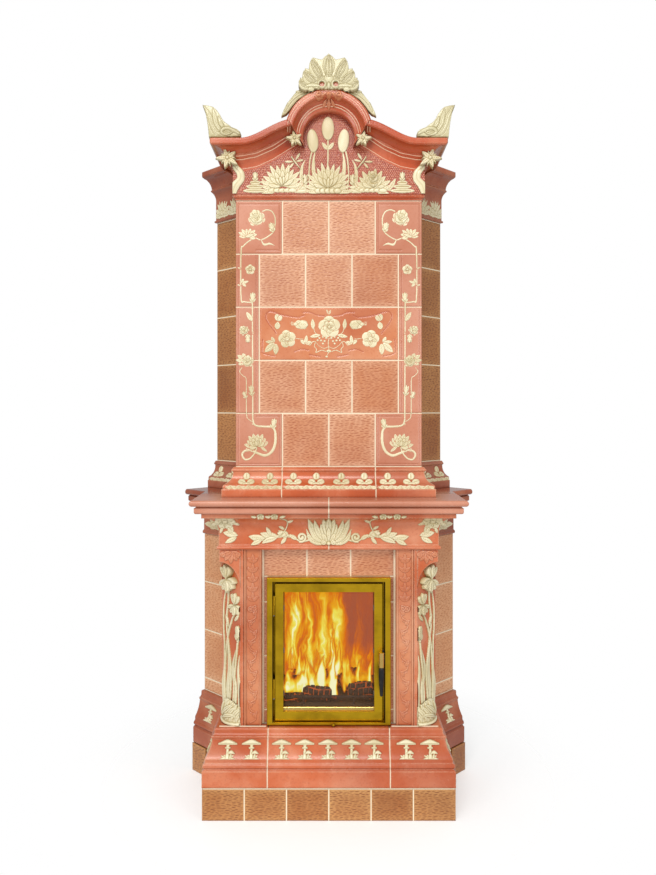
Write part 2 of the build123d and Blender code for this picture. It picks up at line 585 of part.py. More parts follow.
upper_outer = prism(plan(UPPER, -TILE_T, wall=BOARD_T), MANTLE_TOP_Z, CORNICE_TOP_Z - TOP_COVER_T)
upper_inner = prism(plan(UPPER, -TILE_T - UPPER_CORE_WALL, wall=BOARD_T + UPPER_CORE_WALL),
                    MANTLE_TOP_Z, CORNICE_TOP_Z - TOP_COVER_T)
pipe_hole = Pos(0, REAR_FLAT_Y, FLUE_OUT_Z) * Rot(90, 0, 0) * Cylinder(FLUE_R + FLUE_CLEAR, 2 * REAR_CUT)
keep("core_upper", upper_outer - upper_inner - pipe_hole)
keep("cover_slabs", prism(plan(UPPER, -TILE_T, wall=BOARD_T), CORNICE_TOP_Z - TOP_COVER_T, CORNICE_TOP_Z))

front = Panel((-UPPER_HALF, UPPER_FRONT_Y), (1, 0), 2 * UPPER_HALF, UPPER_Z, CORNICE_Z)
upper_sides = side_panels(UPPER, UPPER_Z, CORNICE_Z)
upper_returns = return_panels(UPPER, UPPER_FRONT_Y + TILE_T, UPPER_Z, CORNICE_Z)
wide = 2 * UPPER_HALF
leg = BORDER_W - TILE_T


def corner_piece(name, width, z0, z1):
    """A tile with a leg that wraps the corner on to the return, at both corners of the front."""
    h = z1 - z0 - JOINT
    face = tile(width - JOINT / 2, h)
    side = Rot(0, 0, -90) * Pos(-BORDER_W + JOINT / 2, 0, 0) * tile(BORDER_W - JOINT / 2, h)
    wrap = face + (side & box(-1, TILE_T, TILE_T, BORDER_W, 0, h))
    wrap = Pos(-UPPER_HALF, UPPER_FRONT_Y, z0 + JOINT / 2) * wrap
    keep(name, *both(wrap))
    for m in both(box(-UPPER_HALF, -UPPER_HALF + width - JOINT / 2, UPPER_FRONT_Y, UPPER_FRONT_Y + TILE_T,
                      z0 + JOINT / 2, z1 - JOINT / 2)):
        front.mortar = front.mortar - m
    for panel, u0, u1 in ((upper_returns[0], upper_returns[0].length - leg + JOINT / 2, upper_returns[0].length),
                          (upper_returns[1], 0, leg - JOINT / 2)):
        panel.mortar = panel.mortar - panel.place * box(u0, u1, 0, TILE_T, z0 + JOINT / 2, z1 - JOINT / 2)


for k, (z0, z1) in enumerate(rows(UPPER_Z, UPPER_ROWS)):
    mirror_panel("side_tiles_upper", *upper_sides, 0, upper_sides[0].length, z0, z1, first=True)
    mirror_panel("side_tiles_upper", *upper_returns, 0, upper_returns[0].length - leg, z0, z1)
    if k in (0, UPPER_ROWS - 1):
        corner_piece("corner_tiles_lily" if k == 0 else "corner_tiles_rose", COLUMN_W, z0, z1)
        front.add("plain_tiles_upper", COLUMN_W, 2 * COLUMN_W, z0, z1)
        front.add("plain_tiles_upper", 2 * COLUMN_W, 3 * COLUMN_W, z0, z1)
    else:
        corner_piece("border_tiles", BORDER_W, z0, z1)
        if k == UPPER_ROWS // 2:
            front.add("picture_tile", BORDER_W, wide - BORDER_W, z0, z1)
        else:
            third = (wide - 2 * BORDER_W) / 3
            for c in range(3):
                front.add("plain_tiles_upper", BORDER_W + c * third, BORDER_W + (c + 1) * third, z0, z1)
keep("pointing", front.mortar, *[p.mortar for p in upper_sides + upper_returns])

# ---------------------------------------------------------------- cornice on the side faces
cornice_bottom = CORNICE_Z + GAP
side_cornice = outline(member(CORNICE_Z, CORNICE_TOP_Z, [
    (-TILE_T, GAP), (9, GAP), (9, 9.5, 4), (5, 12.5), (5, -104), (24, -74, -5), (28, -72), (28, -65, 3), (26, -63),
    (62, -26, -9), (72, -22), (74, -18), (74, -5)]) + [(69, CORNICE_TOP_Z, 2), (-TILE_T, CORNICE_TOP_Z)])
crest_foot = member(CORNICE_Z, CORNICE_TOP_Z, [
    (-TILE_T, GAP), (3, GAP), (3, 7.5), (9, 11.5, 1), (12, 15.5), (9, 18.5), (CREST_PANEL_OUT, GAP + CREST_FOOT_H)])
flat_line = [
    (CREST_OUT - 5, 0), (CREST_OUT - 1, -2), (CREST_OUT, -6), (CREST_OUT, -20), (CREST_OUT - 5, -25), (38, -39, 7),
    (32, -42), (32, -47), (CREST_PANEL_OUT, -104, 9)]
return_cornice = outline(
    crest_foot + [(CREST_PANEL_OUT, CREST_TOP_Z - 104), (32, CREST_TOP_Z - 47, -9), (32, CREST_TOP_Z - 42),
                  (38, CREST_TOP_Z - 39), (CREST_OUT - 5, CREST_TOP_Z - 25, -7), (CREST_OUT, CREST_TOP_Z - 20),
                  (CREST_OUT, CREST_TOP_Z - 6), (CREST_OUT - 1, CREST_TOP_Z - 2), (CREST_OUT - 5, CREST_TOP_Z),
                  (-TILE_T, CREST_TOP_Z)], COVE_SIDES)

corner_x, corner_y = inner_corner(UPPER)
bis_x = cos(radians(22.5))
bis_y = -sin(radians(22.5))
mitre_in = (UPPER_HALF - CREST_BACK, UPPER_FRONT_Y + CREST_BACK)
mitre_out = (UPPER_HALF + 2 * CREST_OUT, UPPER_FRONT_Y - 2 * CREST_OUT)
bis_out = (corner_x + 5 * CREST_OUT * bis_x, corner_y + 5 * CREST_OUT * bis_y)
bis_in = (corner_x - 2 * CREST_BACK * bis_x, corner_y - 2 * CREST_BACK * bis_y)
zone_bottom = CORNICE_Z - JOINT
zone_top = WHOLE_H
return_zone = prism([mitre_in, mitre_out, (bis_out[0], mitre_out[1]), bis_out, bis_in], zone_bottom, zone_top)
side_zone = prism([bis_in, bis_out, (bis_out[0], WALL_CORNER_Y), (0, WALL_CORNER_Y)], zone_bottom, zone_top)
front_zone = prism([mitre_in, mitre_out, (-mitre_out[0], mitre_out[1]), (-mitre_in[0], mitre_in[1])],
                   zone_bottom, zone_top)
slots = corner_slots(UPPER, zone_bottom, zone_top)
side_run = run(UPPER, side_cornice) - slots[0] - slots[1]
keep("cornice_side", *both(side_run & side_zone))
return_run = run(UPPER, return_cornice) - slots[0] - slots[1]
keep("cornice_return", *both(return_run & return_zone))

# ---------------------------------------------------------------- crest
# The moulding runs flat, lifts in an ogee, and is mitred into the round arch over the middle.
kink = (-OGEE_KINK_X, CREST_TOP_Z + OGEE_RISE)
flat_end = (-OGEE_FLAT_X, CREST_TOP_Z)
tangent = (60.0, 15.0)
beyond = (kink[0] + 1.2 * tangent[0], kink[1] + 1.2 * tangent[1])
crest_plane = Plane((0, UPPER_FRONT_Y, 0), x_dir=(1, 0, 0), z_dir=(0, -1, 0))
ogee_end = -UPPER_HALF - 1.2 * CREST_OUT
ogee = Line((ogee_end, CREST_TOP_Z), flat_end) + Bezier(
    flat_end, (flat_end[0] + 50, flat_end[1]), (kink[0] - tangent[0], kink[1] - tangent[1]), kink) + Line(kink, beyond)
ogee_face = outline([(-CREST_BACK, 0), *flat_line, (-CREST_BACK, -104)], COVE_SIDES)
start = Plane((ogee_end, UPPER_FRONT_Y, CREST_TOP_Z), x_dir=(0, -1, 0), z_dir=(-1, 0, 0))
ogee_moulding = sweep(start * ogee_face, path=crest_plane * ogee)

arch_face = outline([
    (ARCH_R, -CREST_BACK), (ARCH_R, ARCH_OUT - 5), (ARCH_R - 2, ARCH_OUT - 1), (ARCH_R - 6, ARCH_OUT),
    (ARCH_R - 24, ARCH_OUT),
    (ARCH_R - 28, ARCH_OUT - 5), (ARCH_R - 48, 50, -6), (ARCH_R - 50, 46), (ARCH_INNER_R + 3, 42),
    (ARCH_INNER_R, 36), (ARCH_INNER_R, -CREST_BACK)], COVE_SIDES)
arch_plane = Plane((0, UPPER_FRONT_Y, ARCH_Z), x_dir=(1, 0, 0), z_dir=(0, 0, 1))
arch_solid = revolve(arch_plane * mirror(arch_face, about=Plane.XZ), axis=Axis((0, 0, ARCH_Z), (0, 1, 0)),
                     revolution_arc=360)
mitre_dx = 34.0
mitre_dz = -44.7
inner_kink = (kink[0] + 1.75 * mitre_dx, kink[1] + 1.75 * mitre_dz)
upper_kink = (kink[0] - 2.4 * mitre_dx, kink[1] - 2.4 * mitre_dz)
arch_outline = [inner_kink, kink, upper_kink, (-ARCH_R - 20, zone_top), (ARCH_R + 20, zone_top),
                (-upper_kink[0], upper_kink[1]), (-kink[0], kink[1]), (-inner_kink[0], inner_kink[1])]
arch_zone = plate_xz(make_face(Polyline(*arch_outline, close=True)), -WHOLE, WHOLE)
arch = arch_solid & arch_zone
left_zone = plate_xz(make_face(Polyline(
    (-WHOLE, zone_bottom), (inner_kink[0], zone_bottom), inner_kink, kink, upper_kink, (-WHOLE, zone_top),
    close=True)), -WHOLE, WHOLE)
ogee_left = ogee_moulding & left_zone
panel_top = CREST_TOP_Z - 30
panel_outline = [
    (-UPPER_HALF - CREST_PANEL_OUT, cornice_bottom + CREST_FOOT_H), (UPPER_HALF + CREST_PANEL_OUT,
     cornice_bottom + CREST_FOOT_H), (UPPER_HALF + CREST_PANEL_OUT, panel_top), (OGEE_FLAT_X - 60, panel_top),
    (OGEE_KINK_X, CREST_TOP_Z + 14), (-OGEE_KINK_X, CREST_TOP_Z + 14), (-OGEE_FLAT_X + 60, panel_top),
    (-UPPER_HALF - CREST_PANEL_OUT, panel_top)]
panel_face = make_face(Polyline(*panel_outline, close=True)) + Pos(0, ARCH_Z) * Circle(ARCH_INNER_R + 20)
panel = plate_xz(panel_face, UPPER_FRONT_Y - CREST_PANEL_OUT, UPPER_FRONT_Y + CREST_BACK)
foot_run = run(UPPER, outline(crest_foot + [(-TILE_T, cornice_bottom + CREST_FOOT_H)]))
crest = panel + arch + both(ogee_left) + foot_run
crest = crest & front_zone
keep("crest", crest)



def leaf_outline(length, width):
    """A pointed leaf from the origin along +X."""
    return outline([(0, 0), (length, 0, width / 2), (0, 0, width / 2)], LEAF_SIDES)


palmette_foot = ARCH_Z + ARCH_R
palmette_face = Pos(0, palmette_foot + 34) * Circle(60)
for angle, length, width in ((90, PALMETTE_H - 4, 66), (64, 120, 58), (39, 106, 50), (18, 101, 40)):
    lobe = Rot(0, 0, angle) * leaf_outline(length, width)
    palmette_face += Pos(0, palmette_foot - 4) * lobe
    if angle != 90:
        palmette_face += Pos(0, palmette_foot - 4) * (Rot(0, 0, 180 - angle) * leaf_outline(length, width))
for x in (-PALMETTE_EYE_X, PALMETTE_EYE_X):
    palmette_face -= Pos(x, palmette_foot + 15) * Circle(PALMETTE_EYE_R)
arch_line = Pos(0, ARCH_Z) * Circle(ARCH_R + 0.1)
palmette = plate_xz(palmette_face - arch_line, PALMETTE_Y - PALMETTE_T, PALMETTE_Y)
ribbon_tip = (-ARCH_R - 8, ARCH_Z + 78)
ribbon_face = outline([
    ribbon_tip, (-PALMETTE_EYE_X, palmette_foot + 4, -24), (-PALMETTE_EYE_X, palmette_foot - 8),
    (ribbon_tip[0] + 18, ribbon_tip[1] - 12)], LEAF_SIDES)
keep("crest_palmette", palmette)
ribbon = plate_xz(ribbon_face - arch_line, PALMETTE_Y + JOINT / 10, PALMETTE_Y + RIBBON_T)
keep("crest_palmette", *both(ribbon))

# Each leaf stands on the flat end of the crest, with a twin round the corner on the return.
end_x = -UPPER_HALF - CREST_OUT + 6
end_y = UPPER_FRONT_Y - CREST_OUT + 6
end_leaf = outline([
    (0, 0), (-8, 36), (-26, LEAF_H, -4), (14, LEAF_H - 8, -2), (40, LEAF_H - 30, -4), (46, LEAF_H - 52, 3),
    (80, 34, 4), (LEAF_FOOT - 6, 24, -4), (LEAF_FOOT, 0, -4)], LEAF_SIDES)
eye = Pos(LEAF_FOOT * 0.3, 28) * Rot(0, 0, -20) * leaf_outline(40, 12)
leaf_front = plate_xz(Pos(end_x, CREST_TOP_Z) * (end_leaf - eye), end_y, end_y + LEAF_T)
leaf_plane = Plane((end_x, end_y, 0), x_dir=(1, 1, 0), z_dir=(1, -1, 0))
leaf_pair = leaf_front + mirror(leaf_front, about=leaf_plane)
keep("crest_end_leaves", *both(leaf_pair))

# ---------------------------------------------------------------- wall boards


def wall_lining(tier, inside, z0, z1):
    """The boards behind a tier, along both walls and across the room corner."""
    return prism(plan(tier, -inside), z0, z1) - prism(plan(tier, -inside, wall=BOARD_T), z0, z1)


lower_board = wall_lining(LOWER, TILE_T, 0, MANTLE_Z) + wall_lining(LOWER, MANTLE_IN, MANTLE_Z, MANTLE_TOP_Z)
upper_board = wall_lining(UPPER, TILE_T, MANTLE_TOP_Z, CORNICE_TOP_Z) - pipe_hole
behind = box(-WHOLE, WHOLE, UPPER_FRONT_Y + UPPER_RETURN / 2, REAR_FLAT_Y + BOARD_T, 0, CORNICE_TOP_Z)
rear_half = WALL_CORNER_Y - REAR_FLAT_Y
middle = box(-rear_half, rear_half, 0, REAR_FLAT_Y + BOARD_T, 0, CORNICE_TOP_Z)
for board in (lower_board & behind, upper_board & behind):
    keep("wall_boards", *[s for s in (board - middle).solids() if s.volume > 1e5])
    keep("wall_boards", board & middle)

# ---------------------------------------------------------------- flue
bend_z = FLUE_OUT_Z - FLUE_BEND_R
bend_y = FLUE_Y + FLUE_BEND_R
shoulder_y = REAR_FLAT_Y + COLLAR_T


def pipe(outside, start, end, sides=0):
    """A length of pipe between two points (y, z) in the plane of symmetry, round or with flat sides."""
    length = sqrt((end[0] - start[0]) ** 2 + (end[1] - start[1]) ** 2)
    if sides:
        rings = RegularPolygon(outside, sides) - RegularPolygon(outside - FLUE_T, sides)
    else:
        rings = Circle(outside) - Circle(outside - FLUE_T)
    tube = extrude(rings, length / 2, both=True)
    lean = degrees(atan2(end[0] - start[0], end[1] - start[1]))
    return Pos(0, (start[0] + end[0]) / 2, (start[1] + end[1]) / 2) * Rot(-lean, 0, 0) * tube


riser = pipe(FLUE_R, (FLUE_Y, CASING_TOP_Z), (FLUE_Y, bend_z), FLUE_SIDES)
outlet = pipe(FLUE_R, (bend_y, FLUE_OUT_Z), (shoulder_y, FLUE_OUT_Z))
outlet += pipe(SPIGOT_R, (shoulder_y - FLUE_T, FLUE_OUT_Z), (SPIGOT_END_Y, FLUE_OUT_Z))
step = Pos(0, shoulder_y - FLUE_T / 2, FLUE_OUT_Z) * Rot(90, 0, 0)
outlet += step * (Cylinder(FLUE_R - FLUE_T / 2, FLUE_T) - Cylinder(SPIGOT_R - FLUE_T, FLUE_T + 2))
keep("flue_pipe", riser, outlet)

# The elbow is made of straight gores, mitred to each other.
gore_angle = 90 / ELBOW_GORES
wedge_reach = 2 * (FLUE_BEND_R + FLUE_R)
for k in range(ELBOW_GORES):
    middle = radians((k + 0.5) * gore_angle)
    at_y = bend_y - FLUE_BEND_R * cos(middle)
    at_z = bend_z + FLUE_BEND_R * sin(middle)
    half_y = 1.2 * FLUE_R * sin(middle)
    half_z = 1.2 * FLUE_R * cos(middle)
    gore = pipe(FLUE_R, (at_y - half_y, at_z - half_z), (at_y + half_y, at_z + half_z), FLUE_SIDES)
    wedge = [(bend_y, bend_z)]
    for edge in (k * gore_angle, (k + 1) * gore_angle):
        wedge.append((bend_y - wedge_reach * cos(radians(edge)), bend_z + wedge_reach * sin(radians(edge))))
    face = Plane.YZ * make_face(Polyline(*wedge, close=True))
    keep("flue_bend", gore & extrude(face, 2 * FLUE_R, both=True))
collar = Pos(0, REAR_FLAT_Y + COLLAR_T / 2, FLUE_OUT_Z) * Rot(90, 0, 0) * (
    extrude(RegularPolygon(FLUE_R + COLLAR_W, FLUE_SIDES), COLLAR_T / 2, both=True)
    - Cylinder(FLUE_R + BODY_GAP, COLLAR_T + 2))
keep("flue_collar", collar)

# ---------------------------------------------------------------- firebox
casing_y = CORE_FRONT_Y
casing = box(-CASING_HALF, CASING_HALF, casing_y, casing_y + CASING_DEPTH, CASING_BOTTOM_Z, CASING_TOP_Z)
casing -= box(-CASING_HALF + CASING_T, CASING_HALF - CASING_T, casing_y + CASING_T,
              casing_y + CASING_DEPTH - CASING_T, CASING_BOTTOM_Z + CASING_T, CASING_TOP_Z - CASING_T)
seal_in = GLASS_HALF + GLASS_LAP + 1.5
seal_z0 = GLASS_BOTTOM_Z - GLASS_LAP - 1.5
seal_z1 = GLASS_TOP_Z + GLASS_LAP + 1.5
land_in = seal_in - 2
land_z0 = seal_z0 - SEAL_W - 1.5
land_z1 = seal_z1 + SEAL_W + 1.5
fire_opening = box(-land_in, land_in, FRAME_Y, casing_y + 50, seal_z0 - 2 + 4, seal_z1 + 2 - 4)
casing -= box(-AIR_SLOT_HALF * 3, AIR_SLOT_HALF * 3, casing_y + CASING_T + 1, casing_y + CASING_T + AIR_GAP - 1,
              CASING_BOTTOM_Z - 1, CASING_BOTTOM_Z + CASING_T + 1)
casing = casing - fire_opening - Pos(0, FLUE_Y, CASING_TOP_Z) * Cylinder(FLUE_R - FLUE_T, 40)
keep("firebox_casing", casing)
bearer = box(CASING_HALF - 55, CASING_HALF - 15, CORE_FRONT_Y + CORE_WALL + 12, casing_y + CASING_DEPTH,
             PORTAL_Z, CASING_BOTTOM_Z)
keep("casing_bearers", *both(bearer))

in_x = CASING_HALF - CASING_T
in_y0 = casing_y + CASING_T
in_y1 = casing_y + CASING_DEPTH - CASING_T
floor_z = CASING_BOTTOM_Z + CASING_T
brick_z = floor_z + FLOOR_BRICK_T
hearth_y0 = in_y0 + AIR_GAP


def courses(start, end, count):
    """Splits a stretch into equal bricks with joints between them."""
    size = (end - start - (count - 1) * BRICK_JOINT) / count
    return [(start + k * (size + BRICK_JOINT), start + k * (size + BRICK_JOINT) + size) for k in range(count)]


for x0, x1 in courses(-in_x, in_x, 3):
    for y0, y1 in courses(hearth_y0, in_y1, 2):
        keep("floor_bricks", box(x0, x1, y0, y1, floor_z, brick_z))
for z0, z1 in courses(brick_z, BAFFLE_Z, 2):
    keep("wall_bricks", *both(box(in_x - BRICK_T, in_x, hearth_y0, in_y1 - BRICK_T, z0, z1)))
    keep("wall_bricks", box(-in_x, in_x, in_y1 - BRICK_T, in_y1, z0, z1))
baffle_y0 = in_y1 - BAFFLE_DEPTH
baffle = box(-in_x, in_x, baffle_y0, in_y1, BAFFLE_Z, BAFFLE_Z + BAFFLE_T)
keep("baffle", chamfer(baffle.edges().filter_by(Axis.X).group_by(Axis.Y)[0], 5))

log_bar_half = in_x - BRICK_T
bar_y = in_y0 + LOG_BAR_IN
bar_section = RegularPolygon(LOG_BAR_R, 12)
bar = Pos(0, bar_y, brick_z + LOG_BAR_H) * Rot(0, 90, 0) * extrude(bar_section, log_bar_half, both=True)
for x in (-log_bar_half / 2, log_bar_half / 2):
    bar += Pos(x, bar_y, brick_z) * extrude(RegularPolygon(LOG_BAR_R - 1.5, 12), LOG_BAR_H)
keep("log_bar", bar)
ash = box(-log_bar_half + 14, log_bar_half - 14, in_y0 + 40, in_y1 - BRICK_T - 10, brick_z, brick_z + ASH_H)
keep("ash_bed", chamfer(ash.faces().sort_by(Axis.Z)[-1].edges(), ASH_H * 0.8))

# The logs are cut and laid to fill the hearth: along it in shares of its half width, across in shares of its depth.
hearth_depth = in_y1 - BRICK_T - hearth_y0
log_r = 0.144 * hearth_depth
log_face = outline([(log_r, 0), (-log_r, 0, 1.25 * log_r)], 2 * LEAF_SIDES)
for x, y, yaw, length in ((-0.396, 0.397, 14, 1.044 * log_bar_half), (0.505, 0.397, -64, 0.5 * hearth_depth),
                          (-0.11, 0.816, 3, 1.484 * log_bar_half)):
    log = extrude(Plane.YZ * log_face, length / 2, both=True)
    place = Pos(x * log_bar_half, hearth_y0 + y * hearth_depth, brick_z + ASH_H)
    keep("logs", place * Rot(0, 0, yaw) * log)

# ---------------------------------------------------------------- door frame
frame_in = FRAME_HALF - FRAME_FACE
sill_z = PORTAL_Z + FRAME_SILL
head_z = FRAME_TOP_Z - FRAME_TOP_FACE
plate_y = CORE_FRONT_Y - FRAME_PLATE_T
frame = box(-FRAME_HALF, FRAME_HALF, FRAME_Y, CORE_FRONT_Y, PORTAL_Z, FRAME_TOP_Z)
frame = chamfer(frame.faces().sort_by(Axis.Y)[0].edges(), 2)
frame -= box(-frame_in, frame_in, FRAME_Y - 1, plate_y, sill_z, head_z)
frame -= box(-land_in, land_in, FRAME_Y, CORE_FRONT_Y + 1, seal_z0 - 2, seal_z1 + 2)
land = box(-land_in - LAND_W, land_in + LAND_W, plate_y - LAND_H, plate_y, seal_z0 - LAND_W - 2, seal_z1 + LAND_W + 2)
land -= box(-land_in, land_in, plate_y - LAND_H - 1, plate_y + 1, seal_z0 - 2, seal_z1 + 2)
frame = frame + land
rod_z = PORTAL_Z + FRAME_SILL / 2
rod_hole = Pos(KNOB_X, CORE_FRONT_Y - 30, rod_z) * Rot(90, 0, 0) * Cylinder(ROD_R + PIN_CLEAR, 200)
frame -= rod_hole
frame -= box(-AIR_SLOT_HALF, AIR_SLOT_HALF, plate_y - 1, CORE_FRONT_Y + 1, sill_z + 0.5, sill_z + 0.5 + AIR_SLOT_H)


def knuckle(z0, side):
    """Half a hinge: a bored barrel with a lug to the frame (side -1) or to the leaf (side 1)."""
    barrel = Pos(HINGE_X, HINGE_Y, z0 + HINGE_LEN / 2) * Cylinder(HINGE_R, HINGE_LEN)
    edge = -frame_in if side < 0 else -LEAF_HALF
    barrel += box(min(HINGE_X, edge), max(HINGE_X, edge), HINGE_Y - 2, HINGE_Y + HINGE_R, z0, z0 + HINGE_LEN)
    return barrel - Pos(HINGE_X, HINGE_Y, z0 + HINGE_LEN / 2) * Cylinder(HINGE_PIN_R + PIN_CLEAR, HINGE_LEN + 2)


for z0 in HINGE_Z:
    frame += knuckle(z0, -1)
    pin = Pos(HINGE_X, HINGE_Y, z0 + HINGE_LEN) * Cylinder(HINGE_PIN_R, 2 * HINGE_LEN)
    pin += Pos(HINGE_X, HINGE_Y, z0 - 1.5) * Cylinder(HINGE_R, 3)
    keep("hinge_pins", pin)
keep("door_frame", frame)

cam_y = plate_y - LAND_H - CAM_GAP - CAM_T
cam_half = CAM_R * 0.75
keeper_top = HANDLE_Z - cam_half - 2 * BODY_GAP
keeper = box(frame_in - KEEPER_W, frame_in, cam_y - BODY_GAP - KEEPER_T, cam_y - BODY_GAP,
             keeper_top - KEEPER_H, keeper_top)
keep("latch_keeper", chamfer(keeper.edges().filter_by(Axis.X).group_by(Axis.Z)[-1].sort_by(Axis.Y)[-1], 2))

# ---------------------------------------------------------------- door
leaf = box(-LEAF_HALF, LEAF_HALF, LEAF_Y, LEAF_Y + LEAF_DEPTH, LEAF_BOTTOM_Z, LEAF_TOP_Z)
leaf = chamfer(leaf.faces().sort_by(Axis.Y)[0].edges(), 1.5)
leaf -= box(-GLASS_HALF, GLASS_HALF, LEAF_Y - 1, LEAF_Y + 30, GLASS_BOTTOM_Z, GLASS_TOP_Z)
pane_half = GLASS_HALF + GLASS_LAP
rebate = box(-pane_half - 0.5, pane_half + 0.5, GLASS_Y, LEAF_Y + LEAF_DEPTH + 1,
             GLASS_BOTTOM_Z - GLASS_LAP - 0.5, GLASS_TOP_Z + GLASS_LAP + 0.5)
spindle_hole = Pos(HANDLE_X, LEAF_Y + 10, HANDLE_Z) * Rot(90, 0, 0) * Cylinder(SPINDLE_R + PIN_CLEAR, 60)
leaf = leaf - rebate - spindle_hole
for z0 in HINGE_Z:
    leaf += knuckle(z0 + HINGE_LEN + BODY_GAP, 1)
keep("door_leaf", leaf)

keep("door_glass", box(-pane_half, pane_half, GLASS_Y, GLASS_Y + GLASS_T, GLASS_BOTTOM_Z - GLASS_LAP,
                       GLASS_TOP_Z + GLASS_LAP))
strip = box(-GLASS_HALF, GLASS_HALF, GLASS_Y - STRIP_T, GLASS_Y, GLASS_BOTTOM_Z, GLASS_BOTTOM_Z + STRIP_H)
keep("glass_strip", fillet(strip.edges().filter_by(Axis.X).group_by(Axis.Z)[-1].sort_by(Axis.Y)[0], STRIP_T - 1))

seal_outer = box(-seal_in - SEAL_W, seal_in + SEAL_W, LEAF_Y + LEAF_DEPTH, plate_y - LAND_H - BODY_GAP,
                 seal_z0 - SEAL_W, seal_z1 + SEAL_W)
seal = seal_outer - box(-seal_in, seal_in, LEAF_Y, plate_y, seal_z0, seal_z1)
keep("door_seal", seal)
clip_z = (GLASS_BOTTOM_Z + 60, (GLASS_BOTTOM_Z + GLASS_TOP_Z) / 2, GLASS_TOP_Z - 60)
for z in clip_z:
    clip = box(pane_half - 12, pane_half + 0.5, GLASS_Y + GLASS_T, GLASS_Y + GLASS_T + 3, z - 9, z + 9)
    keep("glass_clips", *both(clip))

# ---------------------------------------------------------------- door handle
grip_top = HANDLE_Z + HUB_UP - HUB_LEN
lever = Pos(HANDLE_X, HANDLE_Y, grip_top) * turned(
    [(0, HUB_R - 1.5), (1.5, HUB_R), (HUB_LEN - 1.5, HUB_R), (HUB_LEN, HUB_R - 1.5)])
spindle_axis = Pos(HANDLE_X, 0, HANDLE_Z) * Rot(90, 0, 0)
cam_end = cam_y + CAM_T
spindle_len = cam_end - HANDLE_Y
spindle = Pos(HANDLE_X, HANDLE_Y + spindle_len / 2, HANDLE_Z) * Rot(90, 0, 0) * Cylinder(SPINDLE_R, spindle_len)
boss_len = LEAF_Y - BODY_GAP - HANDLE_Y
boss = Pos(HANDLE_X, HANDLE_Y + boss_len / 2, HANDLE_Z) * Rot(90, 0, 0) * Cylinder(SPINDLE_R + 3, boss_len)
keep("handle_hub", lever + spindle + boss)
grip = Pos(HANDLE_X, HANDLE_Y, grip_top - GRIP_LEN) * turned(
    [(0, GRIP_TIP_R - 2), (3, GRIP_TIP_R), (GRIP_LEN - 30, GRIP_R), (GRIP_LEN - 6, GRIP_R), (GRIP_LEN, HUB_R - 1.5)])
keep("handle_grip", grip)
cam = Circle(CAM_R) + Pos(CAM_REACH / 2, 0) * Rectangle(CAM_REACH, 2 * cam_half) - Circle(SPINDLE_R + PIN_CLEAR)
keep("latch_cam", plate_xz(Pos(HANDLE_X, HANDLE_Z) * cam, cam_y, cam_end))

# ---------------------------------------------------------------- air slide
knob_y = FRAME_Y - BODY_GAP - 2
shutter_y = CORE_FRONT_Y + BODY_GAP + AIR_TRAVEL
rod_len = shutter_y - knob_y
rod = Pos(KNOB_X, knob_y + rod_len / 2, rod_z) * Rot(90, 0, 0) * Cylinder(ROD_R, rod_len)
keep("air_slide", rod)
keep("air_knob", Pos(KNOB_X, knob_y, rod_z) * Rot(90, 0, 0) * turned(
    [(0, KNOB_R), (KNOB_LEN - 1.8, KNOB_R), (KNOB_LEN, KNOB_R - 1.8)]))
keep("air_slide", box(-SHUTTER_HALF, SHUTTER_HALF, shutter_y, shutter_y + SHUTTER_T,
                        PORTAL_Z + 0.5, CASING_BOTTOM_Z - 0.5))

# ---------------------------------------------------------------- write the pieces
os.makedirs("parts", exist_ok=True)
for name, solids in made.items():
    moved = [SHIFT * s for s in solids]
    export_step(moved[0] if len(moved) == 1 else Compound(children=moved), f"parts/{name}.step")
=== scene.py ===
# %% [markdown]
# # A tiled stove
# This lesson dresses a tiled corner stove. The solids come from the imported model, in metres, and
# every piece made here sits on them. We begin by loading the model and keeping the box that it
# fills, because what we add should hardly make the stove larger.

# %% Load the stove
import json
import math
import bpy
import numpy as np
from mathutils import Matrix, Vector
from mathutils.bvhtree import BVHTree


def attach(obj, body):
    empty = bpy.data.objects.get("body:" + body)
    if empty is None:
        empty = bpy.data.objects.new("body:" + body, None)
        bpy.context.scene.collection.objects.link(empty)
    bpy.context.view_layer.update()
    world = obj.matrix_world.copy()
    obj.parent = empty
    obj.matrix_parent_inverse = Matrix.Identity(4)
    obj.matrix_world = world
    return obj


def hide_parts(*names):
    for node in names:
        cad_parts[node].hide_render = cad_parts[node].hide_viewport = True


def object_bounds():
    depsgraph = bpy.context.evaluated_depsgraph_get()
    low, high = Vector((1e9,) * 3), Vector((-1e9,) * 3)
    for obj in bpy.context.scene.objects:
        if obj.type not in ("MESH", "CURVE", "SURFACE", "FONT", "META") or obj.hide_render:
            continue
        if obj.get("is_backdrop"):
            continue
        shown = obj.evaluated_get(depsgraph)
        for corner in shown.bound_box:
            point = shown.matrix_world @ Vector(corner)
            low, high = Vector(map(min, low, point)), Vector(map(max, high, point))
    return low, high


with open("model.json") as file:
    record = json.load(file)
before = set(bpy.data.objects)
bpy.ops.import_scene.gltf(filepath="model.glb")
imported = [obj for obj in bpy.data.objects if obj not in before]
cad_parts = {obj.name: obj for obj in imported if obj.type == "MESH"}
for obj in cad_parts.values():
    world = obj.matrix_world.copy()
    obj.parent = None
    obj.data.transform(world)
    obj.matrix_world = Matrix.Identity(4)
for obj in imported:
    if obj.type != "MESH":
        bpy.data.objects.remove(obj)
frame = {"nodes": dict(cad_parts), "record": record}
nodes = frame["nodes"]
cad_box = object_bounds()
print("nodes", len(nodes), "box", [round(v, 3) for c in cad_box for v in c])

# %% [markdown]
# Sizes on the drawing of this stove are in millimetres, with the depth counted from the front of
# its plinth. One small function turns them into the metres of the scene, so the sizes below can be
# read as a stove maker would write them.

# %% Millimetres to metres
FRONT_OFFSET = 423.5     # millimetres from the stove's middle forward to the front of its plinth


